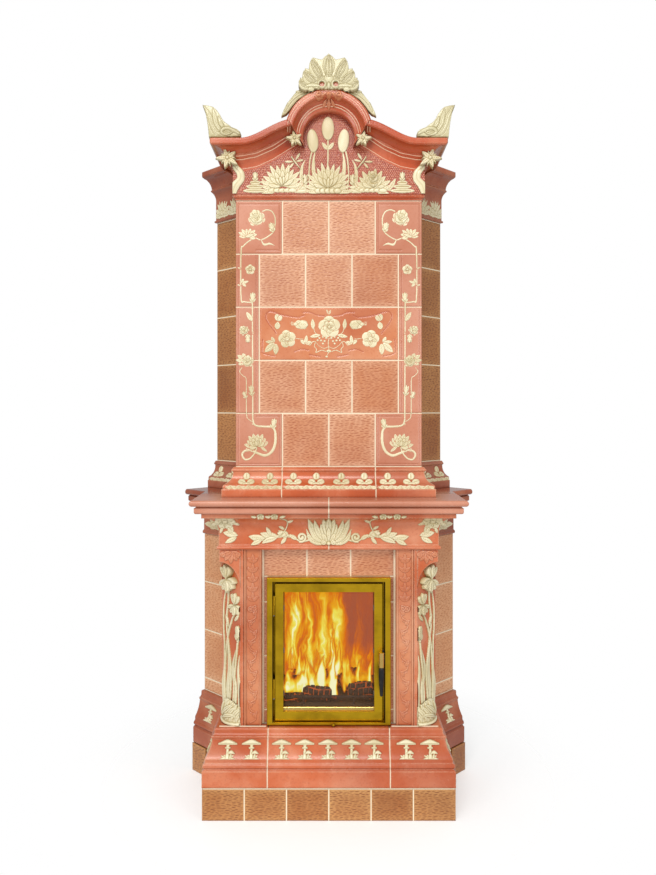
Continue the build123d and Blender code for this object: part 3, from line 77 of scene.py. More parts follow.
def metres(x, y, z):
    """Points of the drawing, in millimetres, as points of the scene."""
    x, y, z = np.broadcast_arrays(x, y, z)
    return np.stack([x / 1000, (y - FRONT_OFFSET) / 1000, z / 1000], axis=-1)


print("plinth front", metres(0, 0, 0))

# %% [markdown]
# The room: a plain white floor, soft light from above the viewer and from both sides, and a
# background that is white for the camera and for reflections only. The stove is lit at a plain
# level, so that a glaze renders about as its colour is written.

# %% Floor, light and background
ROOM_LIGHT = 0.52        # what the room itself adds to the lamps
world = bpy.data.worlds.new("room")
bpy.context.scene.world = world
world.use_nodes = True
tree = world.node_tree
tree.nodes.clear()
rays = tree.nodes.new("ShaderNodeLightPath")
seen = tree.nodes.new("ShaderNodeMath")
seen.operation = "MAXIMUM"
tree.links.new(rays.outputs["Is Camera Ray"], seen.inputs[0])
tree.links.new(rays.outputs["Is Transmission Ray"], seen.inputs[1])
lit = tree.nodes.new("ShaderNodeBackground")
white = tree.nodes.new("ShaderNodeBackground")
for background, strength in ((lit, ROOM_LIGHT), (white, 1.0)):
    background.inputs["Color"].default_value = (1, 1, 1, 1)
    background.inputs["Strength"].default_value = strength
either = tree.nodes.new("ShaderNodeMixShader")
tree.links.new(seen.outputs[0], either.inputs[0])
tree.links.new(lit.outputs[0], either.inputs[1])
tree.links.new(white.outputs[0], either.inputs[2])
sky = tree.nodes.new("ShaderNodeOutputWorld")
tree.links.new(either.outputs[0], sky.inputs["Surface"])


def soft_lamp(name, place, aim, size, power, tint=(1, 1, 1)):
    """A square lamp at place, turned to aim, both in metres."""
    lamp = bpy.data.lights.new(name, "AREA")
    lamp.shape = "RECTANGLE"
    lamp.size, lamp.size_y = size
    lamp.energy = power
    lamp.color = tint
    thing = bpy.data.objects.new(name, lamp)
    thing.location = place
    thing.rotation_euler = (Vector(aim) - Vector(place)).to_track_quat("-Z", "Y").to_euler()
    bpy.context.scene.collection.objects.link(thing)


soft_lamp("lamp_front", (-0.9, -5.6, 5.8), (0, 0, 1.1), (3.2, 2.4), 235, (1.0, 0.98, 0.94))
soft_lamp("lamp_left", (-3.3, -4.8, 1.5), (0, 0, 1.3), (2.0, 2.8), 100, (1.0, 0.98, 0.94))
soft_lamp("lamp_right", (3.5, -4.6, 1.4), (0, 0, 1.3), (2.0, 2.8), 78, (1.0, 0.97, 0.92))


def floor_sheet(half, step):
    """A flat floor with a slight roll, as a poured floor has."""
    count = int(2 * half / step) + 1
    ticks = np.linspace(-half, half, count)
    gx, gy = np.meshgrid(ticks, ticks)
    gz = -0.0004 - 0.0003 * (1 + np.sin(gx * 0.9) * np.cos(gy * 0.7))
    points = np.stack([gx, gy, gz], axis=-1).reshape(-1, 3)
    k = np.arange(count * count).reshape(count, count)
    quads = np.stack([k[:-1, :-1], k[:-1, 1:], k[1:, 1:], k[1:, :-1]], axis=-1).reshape(-1, 4)
    sheet = bpy.data.meshes.new("floor")
    sheet.from_pydata(points.tolist(), [], quads.tolist())
    thing = bpy.data.objects.new("floor", sheet)
    bpy.context.scene.collection.objects.link(thing)
    return thing


floor = floor_sheet(2.4, 0.2)
floor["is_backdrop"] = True
print("lamps", len(bpy.data.lights), "floor points", len(floor.data.vertices))

# %% [markdown]
# The camera stands level in front of the stove, about 1.4 metres up. Its lens and place were worked
# out from the lines of the side faces, which run back at 45 degrees. The small shift keeps the
# camera level while the stove sits a little low in the picture.

# %% Camera
PICTURE_W, PICTURE_H = 656, 875
FOCAL_PX = 773.0
MIDDLE_X, HORIZON_Y = 328.8, 409.0     # the stove's middle and the eye's level, in the picture
EYE = (0, -3.0905, 1.4214)
camera = bpy.data.cameras.new("camera")
camera.sensor_width = 36.0
camera.lens = FOCAL_PX / PICTURE_H * camera.sensor_width
camera.shift_x = -(MIDDLE_X - PICTURE_W / 2) / PICTURE_H
camera.shift_y = -(PICTURE_H / 2 - HORIZON_Y) / PICTURE_H
camera.clip_end = 60
viewer = bpy.data.objects.new("camera", camera)
viewer.location = EYE
viewer.rotation_euler = (math.pi / 2, 0, 0)
bpy.context.scene.collection.objects.link(viewer)
bpy.context.scene.camera = viewer
bpy.context.scene.view_settings.view_transform = "Standard"
print("lens", round(camera.lens, 2), "mm, shift", round(camera.shift_x, 4),
      round(camera.shift_y, 4))

# %% [markdown]
# Finishes are node materials. To write their sums as plain Python, one small class holds a node's
# output and overloads the operators, with the reflected forms too, so 1 - wear works. Colours and
# vectors don't go through Math nodes, which would turn them grey: they have their own calls, for
# Mix and Vector Math.

# %% Sums on sockets


class Wire:
    """The output of a node, to be used in sums."""

    def __init__(self, finish, socket):
        self.finish = finish
        self.socket = socket

    def math(self, kind, *values):
        return self.finish.add("ShaderNodeMath", {"operation": kind}, dict(enumerate(values)))

    def __add__(self, other):
        return self.math("ADD", self, other)

    def __radd__(self, other):
        return self.math("ADD", other, self)

    def __sub__(self, other):
        return self.math("SUBTRACT", self, other)

    def __rsub__(self, other):
        return self.math("SUBTRACT", other, self)

    def __mul__(self, other):
        return self.math("MULTIPLY", self, other)

    def __rmul__(self, other):
        return self.math("MULTIPLY", other, self)

    def between(self, low, high):
        """0 below low, 1 above high, smooth in between."""
        return self.finish.add(
            "ShaderNodeMapRange", {"interpolation_type": "SMOOTHSTEP"},
            {"Value": self, "From Min": low, "From Max": high})


class Finish:
    """A material, and the one method that adds any node to it."""

    def __init__(self, name):
        self.material = bpy.data.materials.new(name)
        self.material.use_nodes = True
        self.tree = self.material.node_tree
        self.tree.nodes.clear()
        self.end = self.tree.nodes.new("ShaderNodeOutputMaterial")
        self.surface = self.tree.nodes.new("ShaderNodeBsdfPrincipled")
        self.tree.links.new(self.surface.outputs[0], self.end.inputs["Surface"])

    def add(self, kind, settings=None, values=None, out=0):
        """Adds a node: its settings first, then the values or links of its sockets."""
        node = self.tree.nodes.new(kind)
        for key, value in (settings or {}).items():
            if key == "stops":
                ramp = node.color_ramp
                while len(ramp.elements) < len(value):
                    ramp.elements.new(0.5)
                for stop, (place, colour) in zip(ramp.elements, value):
                    stop.position = place
                    stop.color = (*colour, 1)
            else:
                setattr(node, key, value)
        for key, value in (values or {}).items():
            self.plug(node.inputs[key], value)
        return Wire(self, node.outputs[out])

    def plug(self, socket, value):
        if isinstance(value, Wire):
            self.tree.links.new(value.socket, socket)
        elif isinstance(value, (tuple, list)) and len(value) == 3 and socket.type == "RGBA":
            socket.default_value = (*value, 1)
        else:
            socket.default_value = value

    def set(self, **values):
        """Sets sockets of the surface shader; an underscore stands for a space."""
        for key, value in values.items():
            self.plug(self.surface.inputs[key.replace("_", " ")], value)

    def mix(self, amount, first, second):
        """A colour between two colours."""
        node = self.tree.nodes.new("ShaderNodeMix")
        node.data_type = "RGBA"
        node.clamp_factor = True
        self.plug(node.inputs[0], amount)
        self.plug(node.inputs[6], first)
        self.plug(node.inputs[7], second)
        return Wire(self, node.outputs[2])

    def vector(self, kind, *values, out=0):
        return self.add("ShaderNodeVectorMath", {"operation": kind}, dict(enumerate(values)),
                        out=out)

    def place(self):
        """Where a point of the surface is, in metres, fixed to the piece."""
        return self.add("ShaderNodeTexCoord", out="Object")

    def stretched(self, sx, sy, sz, where=None):
        return self.vector("MULTIPLY", where or self.place(), (sx, sy, sz))

    def noise(self, scale, detail=3.0, rough=0.5, where=None):
        return self.add(
            "ShaderNodeTexNoise", {},
            {"Vector": where or self.place(), "Scale": scale, "Detail": detail, "Roughness": rough},
            out="Fac")

    def bump(self, height, distance, strength=1.0, under=None):
        values = {"Height": height, "Distance": distance, "Strength": strength}
        if under is not None:
            values["Normal"] = under
        return self.add("ShaderNodeBump", {}, values)

    def drawn(self, name):
        """A number stored at the points of a mesh, 0 where a piece has none."""
        return self.add("ShaderNodeAttribute", {"attribute_name": name}, out="Fac")


print("blender", bpy.app.version_string)

# %% [markdown]
# Glaze is the finish that covers nearly all of this stove: a coloured glass, melted on to fired
# clay. It runs off edges while it melts, so it is thin and pale there, and gathers in hollows,
# where it is deep. The pale edges are also painted highlights along the mouldings. We find edges
# by comparing the surface with a slightly rounded copy of itself, and hollows with ambient
# occlusion and with a number that our own pieces store at their points. The ambient occlusion also
# paints shade into crevices and between parts.
# Each tile also has its own shade, as kiln batches do.

# %% Glaze


def glaze(name, body, deep_and_shade, thin_and_highlight, edge_width=0.004, shine=0.13, cloud_size=7.0, edge_share=0.75,
          coat=0.25):
    """A glaze in three colours: its own; deep, where it gathers and as painted shade; thin, where it
    runs off and as painted highlights on edges.
    """
    f = Finish(name)
    cloud = f.noise(cloud_size, 4.0, 0.55)
    grain = f.noise(140.0, 2.0, 0.6)
    hollow = f.drawn("hollow")
    batch = f.drawn("batch")
    ao_shade = f.add("ShaderNodeAmbientOcclusion", {"samples": 4}, {"Distance": 0.016}, out="AO")
    rounded = f.add("ShaderNodeBevel", {"samples": 4}, {"Radius": edge_width})
    flat = f.add("ShaderNodeNewGeometry", out="Normal")
    lean = f.vector("DOT_PRODUCT", rounded, flat, out="Value")
    edge = (1.0 - lean).between(0.015, 0.2) * ao_shade.between(0.35, 0.9)
    run = grain * 0.5 + cloud * 0.5
    drift = f.noise(cloud_size * 0.4, 2.0, 0.4)
    colour = f.mix((cloud - 0.42) * 1.1, body, thin_and_highlight)
    colour = f.mix(drift.between(0.42, 0.7) * 0.45, colour, deep_and_shade)
    colour = f.mix(batch * 0.6, colour, thin_and_highlight)
    colour = f.mix((grain - 0.52).between(0.0, 0.22) * 0.25, colour, deep_and_shade)
    colour = f.mix(hollow * 0.9, colour, deep_and_shade)
    # Darker in crevices and between parts: partly glaze that gathers there, partly painted shade
    # from ambient occlusion.
    colour = f.mix((1.0 - ao_shade).between(0.12, 0.75) * 0.75, colour, deep_and_shade)
    # Pale edges: partly glaze run thin, partly a painted highlight along each convex edge.
    colour = f.mix(edge * run.between(0.3, 0.62) * edge_share, colour, thin_and_highlight)
    skin = f.bump(f.noise(260.0, 2.0, 0.5), 0.0006, 0.16, under=rounded)
    pool = f.bump(f.noise(38.0, 2.0, 0.4), 0.002, 0.12, under=skin)
    f.set(Base_Color=colour, Roughness=(cloud * 0.14 + shine), Normal=pool, Coat_Weight=coat,
          Coat_Roughness=0.12, IOR=1.5)
    return f.material


plain_glaze = glaze("glaze_plain", (0.56, 0.222, 0.100), (0.32, 0.070, 0.018), (0.80, 0.50, 0.33),
                    shine=0.32, coat=0.1)
pale_glaze = glaze("glaze_pale", (0.66, 0.31, 0.140), (0.42, 0.13, 0.040), (0.84, 0.56, 0.34),
                   shine=0.34, coat=0.1)
red_glaze = glaze("glaze_red", (0.57, 0.128, 0.040), (0.28, 0.030, 0.006), (0.90, 0.55, 0.36),
                  edge_width=0.0075, edge_share=0.95, shine=0.2)
# A darker, browner glaze: painted shade on the side faces, and dirt and shade on the plinth.
brown_shade_glaze = glaze("glaze_brown", (0.36, 0.120, 0.022), (0.16, 0.038, 0.005), (0.60, 0.31, 0.11),
                    shine=0.3, coat=0.1)
cream_glaze = glaze("glaze_cream", (0.76, 0.69, 0.46), (0.44, 0.33, 0.13), (0.86, 0.81, 0.63),
                    edge_width=0.0012, shine=0.24, cloud_size=16.0)
aged_glaze = glaze("glaze_cream_aged", (0.60, 0.55, 0.34), (0.30, 0.23, 0.08), (0.72, 0.67, 0.46),
                   edge_width=0.0016, shine=0.26, cloud_size=16.0)
crest_glaze = glaze("glaze_crest", (0.49, 0.080, 0.022), (0.24, 0.020, 0.005), (0.80, 0.39, 0.24),
                    edge_width=0.006, edge_share=0.85, shine=0.2, coat=0.15)
coral_glaze = glaze("glaze_coral", (0.60, 0.205, 0.085), (0.36, 0.050, 0.014), (0.84, 0.52, 0.34),
                    edge_width=0.006, shine=0.24)
# A dark umber glaze: painted shade for the mouldings on the side faces.
side_shade_glaze = glaze("glaze_umber_side_shade", (0.36, 0.078, 0.024), (0.15, 0.018, 0.004), (0.74, 0.38, 0.22),
                    edge_width=0.0065)
# Pale bead glaze: thin glaze, and a painted highlight along the fine lines.
bead_glaze = glaze("glaze_thin_highlight", (0.80, 0.42, 0.26), (0.55, 0.20, 0.09), (0.90, 0.60, 0.42),
                   shine=0.2)
ornament_glaze = glaze("glaze_salmon", (0.56, 0.226, 0.138), (0.36, 0.09, 0.035),
                       (0.74, 0.44, 0.33), shine=0.28, coat=0.12)
print("glazes", [m.name for m in (plain_glaze, red_glaze, brown_shade_glaze, cream_glaze)])

# %% [markdown]
# The floor is white. It fades out with distance from the stove, so there is no horizon behind it
# and only a soft shadow stays around the plinth.

# %% Floor finish
FADE_FROM, FADE_TO = 0.30, 1.15        # metres from the stove's middle


def floor_finish():
    """White, and see-through far from the stove."""
    f = Finish("floor_white")
    patch = f.noise(2.2, 3.0, 0.5)
    reach = f.vector("LENGTH", f.stretched(1.0, 1.0, 0.0), out="Value")
    f.set(Base_Color=f.mix(patch.between(0.35, 0.7), (0.95, 0.96, 0.97), (0.93, 0.94, 0.95)),
          Roughness=(patch * 0.15 + 0.55), Normal=f.bump(f.noise(30.0, 2.0, 0.5), 0.0003, 0.2),
          Emission_Color=(1.0, 1.0, 1.0), Emission_Strength=0.22)
    clear = f.tree.nodes.new("ShaderNodeBsdfTransparent")
    fade = f.tree.nodes.new("ShaderNodeMixShader")
    f.plug(fade.inputs[0], reach.between(FADE_FROM, FADE_TO))
    f.tree.links.new(f.surface.outputs[0], fade.inputs[1])
    f.tree.links.new(clear.outputs[0], fade.inputs[2])
    f.tree.links.new(fade.outputs[0], f.end.inputs["Surface"])
    return f.material


floor.data.materials.append(floor_finish())
print("floor fades between", FADE_FROM, "and", FADE_TO, "m")

# %% [markdown]
# The pointing between the tiles is a fine sandy plaster, and the hidden masonry, boards and fire
# bricks are coarser ones. They share one recipe: a matt colour with sand in it and a grainy
# surface.

# %% Plaster, brick and stone


def grainy(name, body, dark, grain_scale, depth, patches=6.0):
    """A matt mineral surface with grains."""
    f = Finish(name)
    grain = f.noise(grain_scale, 4.0, 0.7)
    patch = f.noise(patches, 3.0, 0.6)
    pits = f.add("ShaderNodeTexVoronoi", {}, {"Vector": f.place(), "Scale": grain_scale * 0.6},
                 out="Distance")
    colour = f.mix(grain.between(0.35, 0.75) * 0.6, body, dark)
    colour = f.mix(patch.between(0.45, 0.8) * 0.5, colour, dark)
    height = grain * 0.7 + pits * 0.3
    f.set(Base_Color=colour, Roughness=(grain * 0.2 + 0.7), Normal=f.bump(height, depth, 0.6))
    return f.material


joint_plaster = grainy("pointing", (0.84, 0.74, 0.56), (0.72, 0.58, 0.40), 420.0, 0.0004)
masonry = grainy("masonry", (0.42, 0.33, 0.25), (0.30, 0.21, 0.15), 90.0, 0.002)
board = grainy("board", (0.62, 0.59, 0.53), (0.48, 0.45, 0.40), 160.0, 0.0012)
firebrick = grainy("firebrick", (0.50, 0.34, 0.20), (0.18, 0.11, 0.07), 120.0, 0.0015, patches=14.0)
ash_grey = grainy("ash", (0.36, 0.33, 0.30), (0.10, 0.08, 0.07), 150.0, 0.003, patches=24.0)
print("mineral finishes", 5)

# %% [markdown]
# The fire door is lacquered brass. Brushing leaves fine lines along the length of each bar, which
# show as small changes of roughness, and ambient occlusion paints a little shade into the
# corners. Steel and iron parts behind it use the same recipe with other colours.

# %% Metals


def metal(name, body, dull_and_shade, rough, brush=(40.0, 40.0, 900.0)):
    """A metal with brushed lines; brush is how closely they lie along x, y and z."""
    f = Finish(name)
    lines = f.noise(1.0, 3.0, 0.6, where=f.stretched(*brush))
    patch = f.noise(11.0, 4.0, 0.6)
    ao_shade = f.add("ShaderNodeAmbientOcclusion", {"samples": 4}, {"Distance": 0.012}, out="AO")
    rounded = f.add("ShaderNodeBevel", {"samples": 4}, {"Radius": 0.0008})
    colour = f.mix(patch.between(0.4, 0.75) * 0.5, body, dull_and_shade)
    # Painted shade: ambient occlusion darkens the corners and the places between parts.
    colour = f.mix((1.0 - ao_shade).between(0.12, 0.6) * 0.85, colour, dull_and_shade)
    colour = f.mix(lines.between(0.45, 0.7) * 0.25, colour, dull_and_shade)
    f.set(Base_Color=colour, Metallic=1.0, Roughness=(lines * 0.14 + rough),
          Normal=f.bump(lines, 0.0002, 0.35, under=rounded))
    return f.material


brass = metal("brass", (0.74, 0.46, 0.020), (0.24, 0.125, 0.006), 0.24, brush=(30.0, 30.0, 1400.0))
brass_bright = metal("brass_bright", (0.95, 0.66, 0.22), (0.62, 0.38, 0.08), 0.10,
                     brush=(900.0, 900.0, 60.0))
steel = metal("flue_steel", (0.42, 0.42, 0.43), (0.20, 0.20, 0.21), 0.32)
blackened = metal("casing_steel", (0.050, 0.046, 0.043), (0.022, 0.020, 0.018), 0.5)
iron = metal("iron", (0.085, 0.075, 0.07), (0.03, 0.026, 0.024), 0.55, brush=(120.0, 120.0, 120.0))


def moulded(name, body, worn, rough):
    """Black moulded resin, rubbed a little where a hand holds it."""
    f = Finish(name)
    grain = f.noise(300.0, 2.0, 0.6)
    rub = f.noise(30.0, 3.0, 0.5)
    f.set(Base_Color=f.mix(rub.between(0.4, 0.7) * 0.6, body, worn),
          Roughness=(grain * 0.15 + rough),
          Normal=f.bump(grain, 0.0002, 0.3), Specular_IOR_Level=0.25)
    return f.material


def woven(name, body, dark):
    """Glass-fibre sealing rope: a coarse plait."""
    f = Finish(name)
    plait = f.add("ShaderNodeTexWave", {"wave_type": "BANDS", "bands_direction": "DIAGONAL"},
                  {"Vector": f.place(), "Scale": 160.0, "Distortion": 1.5, "Detail": 2.0},
                  out="Fac")
    soot = f.noise(18.0, 3.0, 0.6)
    f.set(Base_Color=f.mix(soot.between(0.3, 0.7), f.mix(plait, dark, body), dark), Roughness=0.95,
          Normal=f.bump(plait, 0.001, 0.8))
    return f.material


grip_black = moulded("grip", (0.012, 0.012, 0.012), (0.035, 0.033, 0.032), 0.3)
rope = woven("rope", (0.40, 0.38, 0.35), (0.12, 0.11, 0.10))
print("metals and small finishes ready")

# %% [markdown]
# The door's pane is clear ceramic glass. It is a thin sheet, so instead of bending light it lets
# nearly all of it through and keeps a shine, which also stays right when the model is opened
# elsewhere.

# %% Glass


def pane_glass():
    """Clear glass with a faint brown haze."""
    f = Finish("glass")
    haze = f.noise(9.0, 4.0, 0.6)
    f.set(Base_Color=(0.30, 0.16, 0.06), Roughness=(haze * 0.05 + 0.02),
          Alpha=(haze.between(0.3, 0.9) * 0.05 + 0.05),
          IOR=1.5, Specular_IOR_Level=0.3)
    return f.material


glass = pane_glass()
print("pane", glass.name)

# %% [markdown]
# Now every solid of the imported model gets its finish. Solids whose front will be made again below,
# with ripples or carving, still get theirs here, so nothing can be left bare.

# %% Finishes on the solids
slot_finish = {
    "glaze_plain": plain_glaze, "glaze_red": red_glaze, "glaze_brown": brown_shade_glaze,
    "glaze_cream": cream_glaze,
    "pointing": joint_plaster, "masonry": masonry, "board": board, "firebrick": firebrick,
    "casing_steel": blackened, "flue_steel": steel, "brass": brass, "iron": iron, "glass": glass,
    "rope": rope,
    "grip": grip_black, "ash": ash_grey, "charred_wood": iron}
slot_of = {part["node"]: part["material_slot"] for part in frame["record"]["subparts"]}
for name, solid in nodes.items():
    for slot in solid.material_slots:
        slot.material = slot_finish[slot_of[name]]
nodes["glass_strip"].material_slots[0].material = brass_bright
nodes["handle_hub"].material_slots[0].material = brass_bright
# The side mouldings take the umber glaze, which paints the shade of faces turned away from the
# light.
for name in ("base_moulding_side", "frieze_side", "mantle_side", "upper_base_side", "cornice_side",
             "cornice_return"):
    nodes[name].material_slots[0].material = side_shade_glaze
nodes["mantle_front"].material_slots[0].material = ornament_glaze
nodes["crest"].material_slots[0].material = crest_glaze
nodes["portal_strips"].material_slots[0].material = coral_glaze
print("finished solids", len(nodes))

# %% [markdown]
# The stove's faces. In plan the lower and the upper tier each have a front, two returns and two
# side faces that run out to the room's walls at 45 degrees. A face is a corner point and a
# direction; from it we can place anything drawn flat, whether the surface is upright or is the
# curved profile of a moulding.

# %% Faces of the stove
ROOT2 = math.sqrt(2)
LOWER_FRONT, LOWER_HALF, LOWER_SIDE = 59.0, 386.0, 74.0
UPPER_FRONT, UPPER_HALF, UPPER_SIDE = 120.0, 335.0, -14.0
WALL_CORNER = 920.0
ROW = 191.5
JOINT = 3.0
TILE_T = 24.0
UPPER_FOOT = 1214.0
CORNICE_FOOT = UPPER_FOOT + 5 * ROW
PILLAR_CUT = 75.0        # how far a pillar's corner is cut back


def face(x, y, turn):
    """A face that starts at a plan point and runs in the direction of turn, in degrees."""
    return x, y, math.cos(math.radians(turn)), math.sin(math.radians(turn))


def tier_faces(front, half, side):
    """The five faces of a tier, each seen from outside from left to right."""
    corner = half - side
    tip_x, tip_y = (side + WALL_CORNER) / 2, (WALL_CORNER - side) / 2
    return {
        "front": (face(-half, front, 0), 2 * half),
        "right_return": (face(half, front, 90), corner - front),
        "left_return": (face(-half, corner, -90), corner - front),
        "right_side": (face(half, corner, 45), (tip_x - half) * ROOT2),
        "left_side": (face(-tip_x, tip_y, -45), (tip_x - half) * ROOT2),
    }


lower = tier_faces(LOWER_FRONT, LOWER_HALF, LOWER_SIDE)
upper = tier_faces(UPPER_FRONT, UPPER_HALF, UPPER_SIDE)


def upright(side, out=0.0, foot=0.0, start=0.0):
    """Places a drawing on an upright face: u runs along it, v up, and clay stands out from it."""
    x, y, c, s = side

    def put(u, v, h):
        p = out + h
        return metres(x + (u + start) * c + p * s, y + (u + start) * s - p * c, foot + v)
    return put


def reach_of(profile):
    """A profile's points, and how far along the profile each of them lies."""
    pz = np.array(profile, float)
    return pz, np.concatenate([[0], np.cumsum(np.hypot(*np.diff(pz, axis=0).T))])


def moulded_on(side, profile):
    """Places a drawing on a moulding: v runs up the profile's (projection, height) points."""
    x, y, c, s = side
    pz, reach = reach_of(profile)
    slope = np.gradient(pz, reach, axis=0)
    slope /= np.linalg.norm(slope, axis=1)[:, None]

    def put(u, v, h):
        p = np.interp(v, reach, pz[:, 0]) + h * np.interp(v, reach, slope[:, 1])
        z = np.interp(v, reach, pz[:, 1]) - h * np.interp(v, reach, slope[:, 0])
        return metres(x + u * c + p * s, y + u * s - p * c, z)
    put.length = float(reach[-1])
    return put


for key, (side, length) in upper.items():
    print("upper", key, round(length, 1), "mm")

# %% [markdown]
# A mesh is gathered grid by grid. Each grid is a sheet of points with a number for how hollow the
# place is and one for the kiln batch, and may keep only some of its cells. Closing a grid adds a
# rim and a back, so that a tile is a solid slab and not a film.

# %% Gathering grids into a mesh


class Body:
    """Points and faces of one piece."""

    def __init__(self):
        self.points, self.faces, self.hollow, self.batch = [], [], [], []
        self.count = 0

    def grid(self, points, hollow=None, batch=0.0, keep=None, flip=False):
        """Adds a grid of points; keep says which cells stay."""
        rows, cols = points.shape[:2]
        k = np.arange(rows * cols).reshape(rows, cols)
        cells = np.stack([k[:-1, :-1], k[:-1, 1:], k[1:, 1:], k[1:, :-1]], axis=-1)
        if flip:
            cells = cells[..., ::-1]
        cells = cells[keep] if keep is not None else cells.reshape(-1, 4)
        used = np.unique(cells)
        new = np.full(rows * cols, -1)
        new[used] = np.arange(len(used)) + self.count
        self.points.append(points.reshape(-1, 3)[used])
        hollow = np.zeros(rows * cols) if hollow is None else hollow.reshape(-1)
        self.hollow.append(hollow[used])
        batch = np.broadcast_to(batch, points.shape[:2]).reshape(-1)
        self.batch.append(batch[used])
        self.faces.append(new[cells])
        self.count += len(used)

    def slab(self, put, u, v, height, thick, hollow=None, batch=0.0):
        """A closed slab: a front of clay heights, a rim and a back."""
        uu, vv = np.meshgrid(u, v)
        self.grid(put(uu, vv, height), hollow, batch)
        for pick, turn in ((np.s_[:1, :], False), (np.s_[-1:, :], True), (np.s_[:, :1], True),
                           (np.s_[:, -1:], False)):
            ru, rv, rh = uu[pick].ravel(), vv[pick].ravel(), height[pick].ravel()
            rim = np.stack([put(ru, rv, np.full_like(rh, -thick)), put(ru, rv, rh)])
            self.grid(rim, None, 0.5, flip=turn)
        cu, cv = np.meshgrid(u[[0, -1]], v[[0, -1]])
        self.grid(put(cu, cv, np.full(cu.shape, -thick)), None, 0.5, flip=True)

    def make(self, name, finish, ride="stove", slot=None, stands_for=(), smooth=True):
        """The finished piece, riding on a body of the model."""
        points = np.concatenate(self.points)
        faces = np.concatenate(self.faces)
        mesh = bpy.data.meshes.new(name)
        mesh.vertices.add(len(points))
        mesh.vertices.foreach_set("co", points.astype(np.float32).ravel())
        mesh.loops.add(faces.size)
        mesh.loops.foreach_set("vertex_index", faces.astype(np.int32).ravel())
        mesh.polygons.add(len(faces))
        mesh.polygons.foreach_set("loop_start", np.arange(0, faces.size, 4, dtype=np.int32))
        mesh.polygons.foreach_set("loop_total", np.full(len(faces), 4, np.int32))
        mesh.polygons.foreach_set("use_smooth", np.full(len(faces), smooth))
        mesh.update(calc_edges=True)
        for key, values in (("hollow", self.hollow), ("batch", self.batch)):
            layer = mesh.attributes.new(key, "FLOAT", "POINT")
            layer.data.foreach_set("value", np.concatenate(values).astype(np.float32))
        mesh.materials.append(finish)
        thing = bpy.data.objects.new(name, mesh)
        bpy.context.scene.collection.objects.link(thing)
        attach(thing, ride)
        if stands_for:
            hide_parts(*stands_for)
        print(name, len(faces), "faces")


def soften(field, times):
    """Spreads a field a little, once for each time."""
    for _ in range(times):
        padded = np.pad(field, 1, mode="edge")
        field = (padded[:-2, 1:-1] + padded[2:, 1:-1] + padded[1:-1, :-2] + padded[1:-1, 2:]) / 4
    return field


def hollows(height, times=6, depth=0.9):
    """How much lower each point is than the clay around it, from 0 to 1."""
    return np.clip((soften(height, times) - height) / depth, 0, 1)


# %% [markdown]
# The plain tiles are hand-textured: rows of short, shallow scoops, as a flat tool leaves when it is
# pressed into soft clay and drawn sideways. Each scoop is deepest along its lower side. We work the
# scoops out at every point of a tile from a hashed random number for each place in the row, so no
# two tiles are alike.

# %% Rippled clay
RIPPLE_PITCH = 5.8       # height of one row of scoops
RIPPLE_LENGTH = 19.0
RIPPLE_DEPTH = 1.1


def scatter(a, b, seed):
    """A random number from 0 to 1 for each pair of whole numbers."""
    value = np.sin(a * 127.1 + b * 311.7 + seed * 74.7) * 43758.5453
    return value - np.floor(value)


def ripples(u, v, seed):
    """Clay heights of the scoops, 0 or less."""
    wave = 1.6 * np.sin(u * 0.045 + seed) + 1.1 * np.sin(u * 0.11 + v * 0.03 + seed * 2.3)
    row = np.floor((v + wave) / RIPPLE_PITCH)
    deepest = np.zeros_like(u)
    for dr in (-1, 0, 1):
        r = row + dr
        shift = scatter(r, 3.0, seed) * RIPPLE_LENGTH
        col = np.floor((u + shift) / RIPPLE_LENGTH)
        for dc in (-1, 0, 1):
            c = col + dc
            size = 0.75 + 0.5 * scatter(r, c, seed + 1.7)
            at_u = (c + 0.5) * RIPPLE_LENGTH - shift + (scatter(r, c, seed) - 0.5) * 8
            at_v = (r + 0.5) * RIPPLE_PITCH - wave + (scatter(c, r, seed + 5.1) - 0.5) * 2.6
            tilt = (scatter(c, r, seed + 9.4) - 0.5) * 0.16
            du = (u - at_u) / (RIPPLE_LENGTH * 0.56 * size)
            dv = (v - at_v - tilt * (u - at_u)) / (RIPPLE_PITCH * 0.5)
            bowl = np.clip(1 - du ** 2 - dv ** 2, 0, 1)
            depth = bowl ** 0.6 * (0.62 - 0.38 * dv) * (0.6 + 0.6 * scatter(r, c, seed + 3.3))
            deepest = np.maximum(deepest, depth)
    return -RIPPLE_DEPTH * deepest


EDGE_RADIUS, EDGE_DROP = 3.2, 1.5      # the rounded rim of a tile


def tile_edge(u, v):
    """The rounded rim of a tile, 0 or less."""
    du = np.minimum(u - u.min(), u.max() - u)
    dv = np.minimum(v - v.min(), v.max() - v)
    near = np.clip(1 - np.minimum(du, dv) / EDGE_RADIUS, 0, 1)
    return -EDGE_DROP * (1 - np.sqrt(1 - near ** 2 * 0.98))


def rippled_tile(body, put, width, height, seed, step=2.0):
    """One tile with its lower left corner at 0, 0 of put."""
    u = np.linspace(0, width, int(width / (step * 1.2)) + 1)
    v = np.linspace(0, height, int(height / (step * 0.8)) + 1)
    uu, vv = np.meshgrid(u, v)
    to_rim = np.minimum(np.minimum(uu, width - uu), np.minimum(vv, height - vv))
    clay = ripples(uu, vv, seed) * np.clip(to_rim / 5, 0, 1)
    rim = np.clip(1 - to_rim / 30, 0, 1) ** 1.6
    shade = 0.62 * scatter(seed, 1.0, 4.0) + 0.5 * rim * scatter(seed, 2.0, 4.0) + 0.4 * rim
    body.slab(put, u, v, clay + tile_edge(uu, vv), TILE_T, hollows(clay, 5, 0.36), shade)


print("ripples", RIPPLE_DEPTH, "mm deep, pitch", RIPPLE_PITCH)

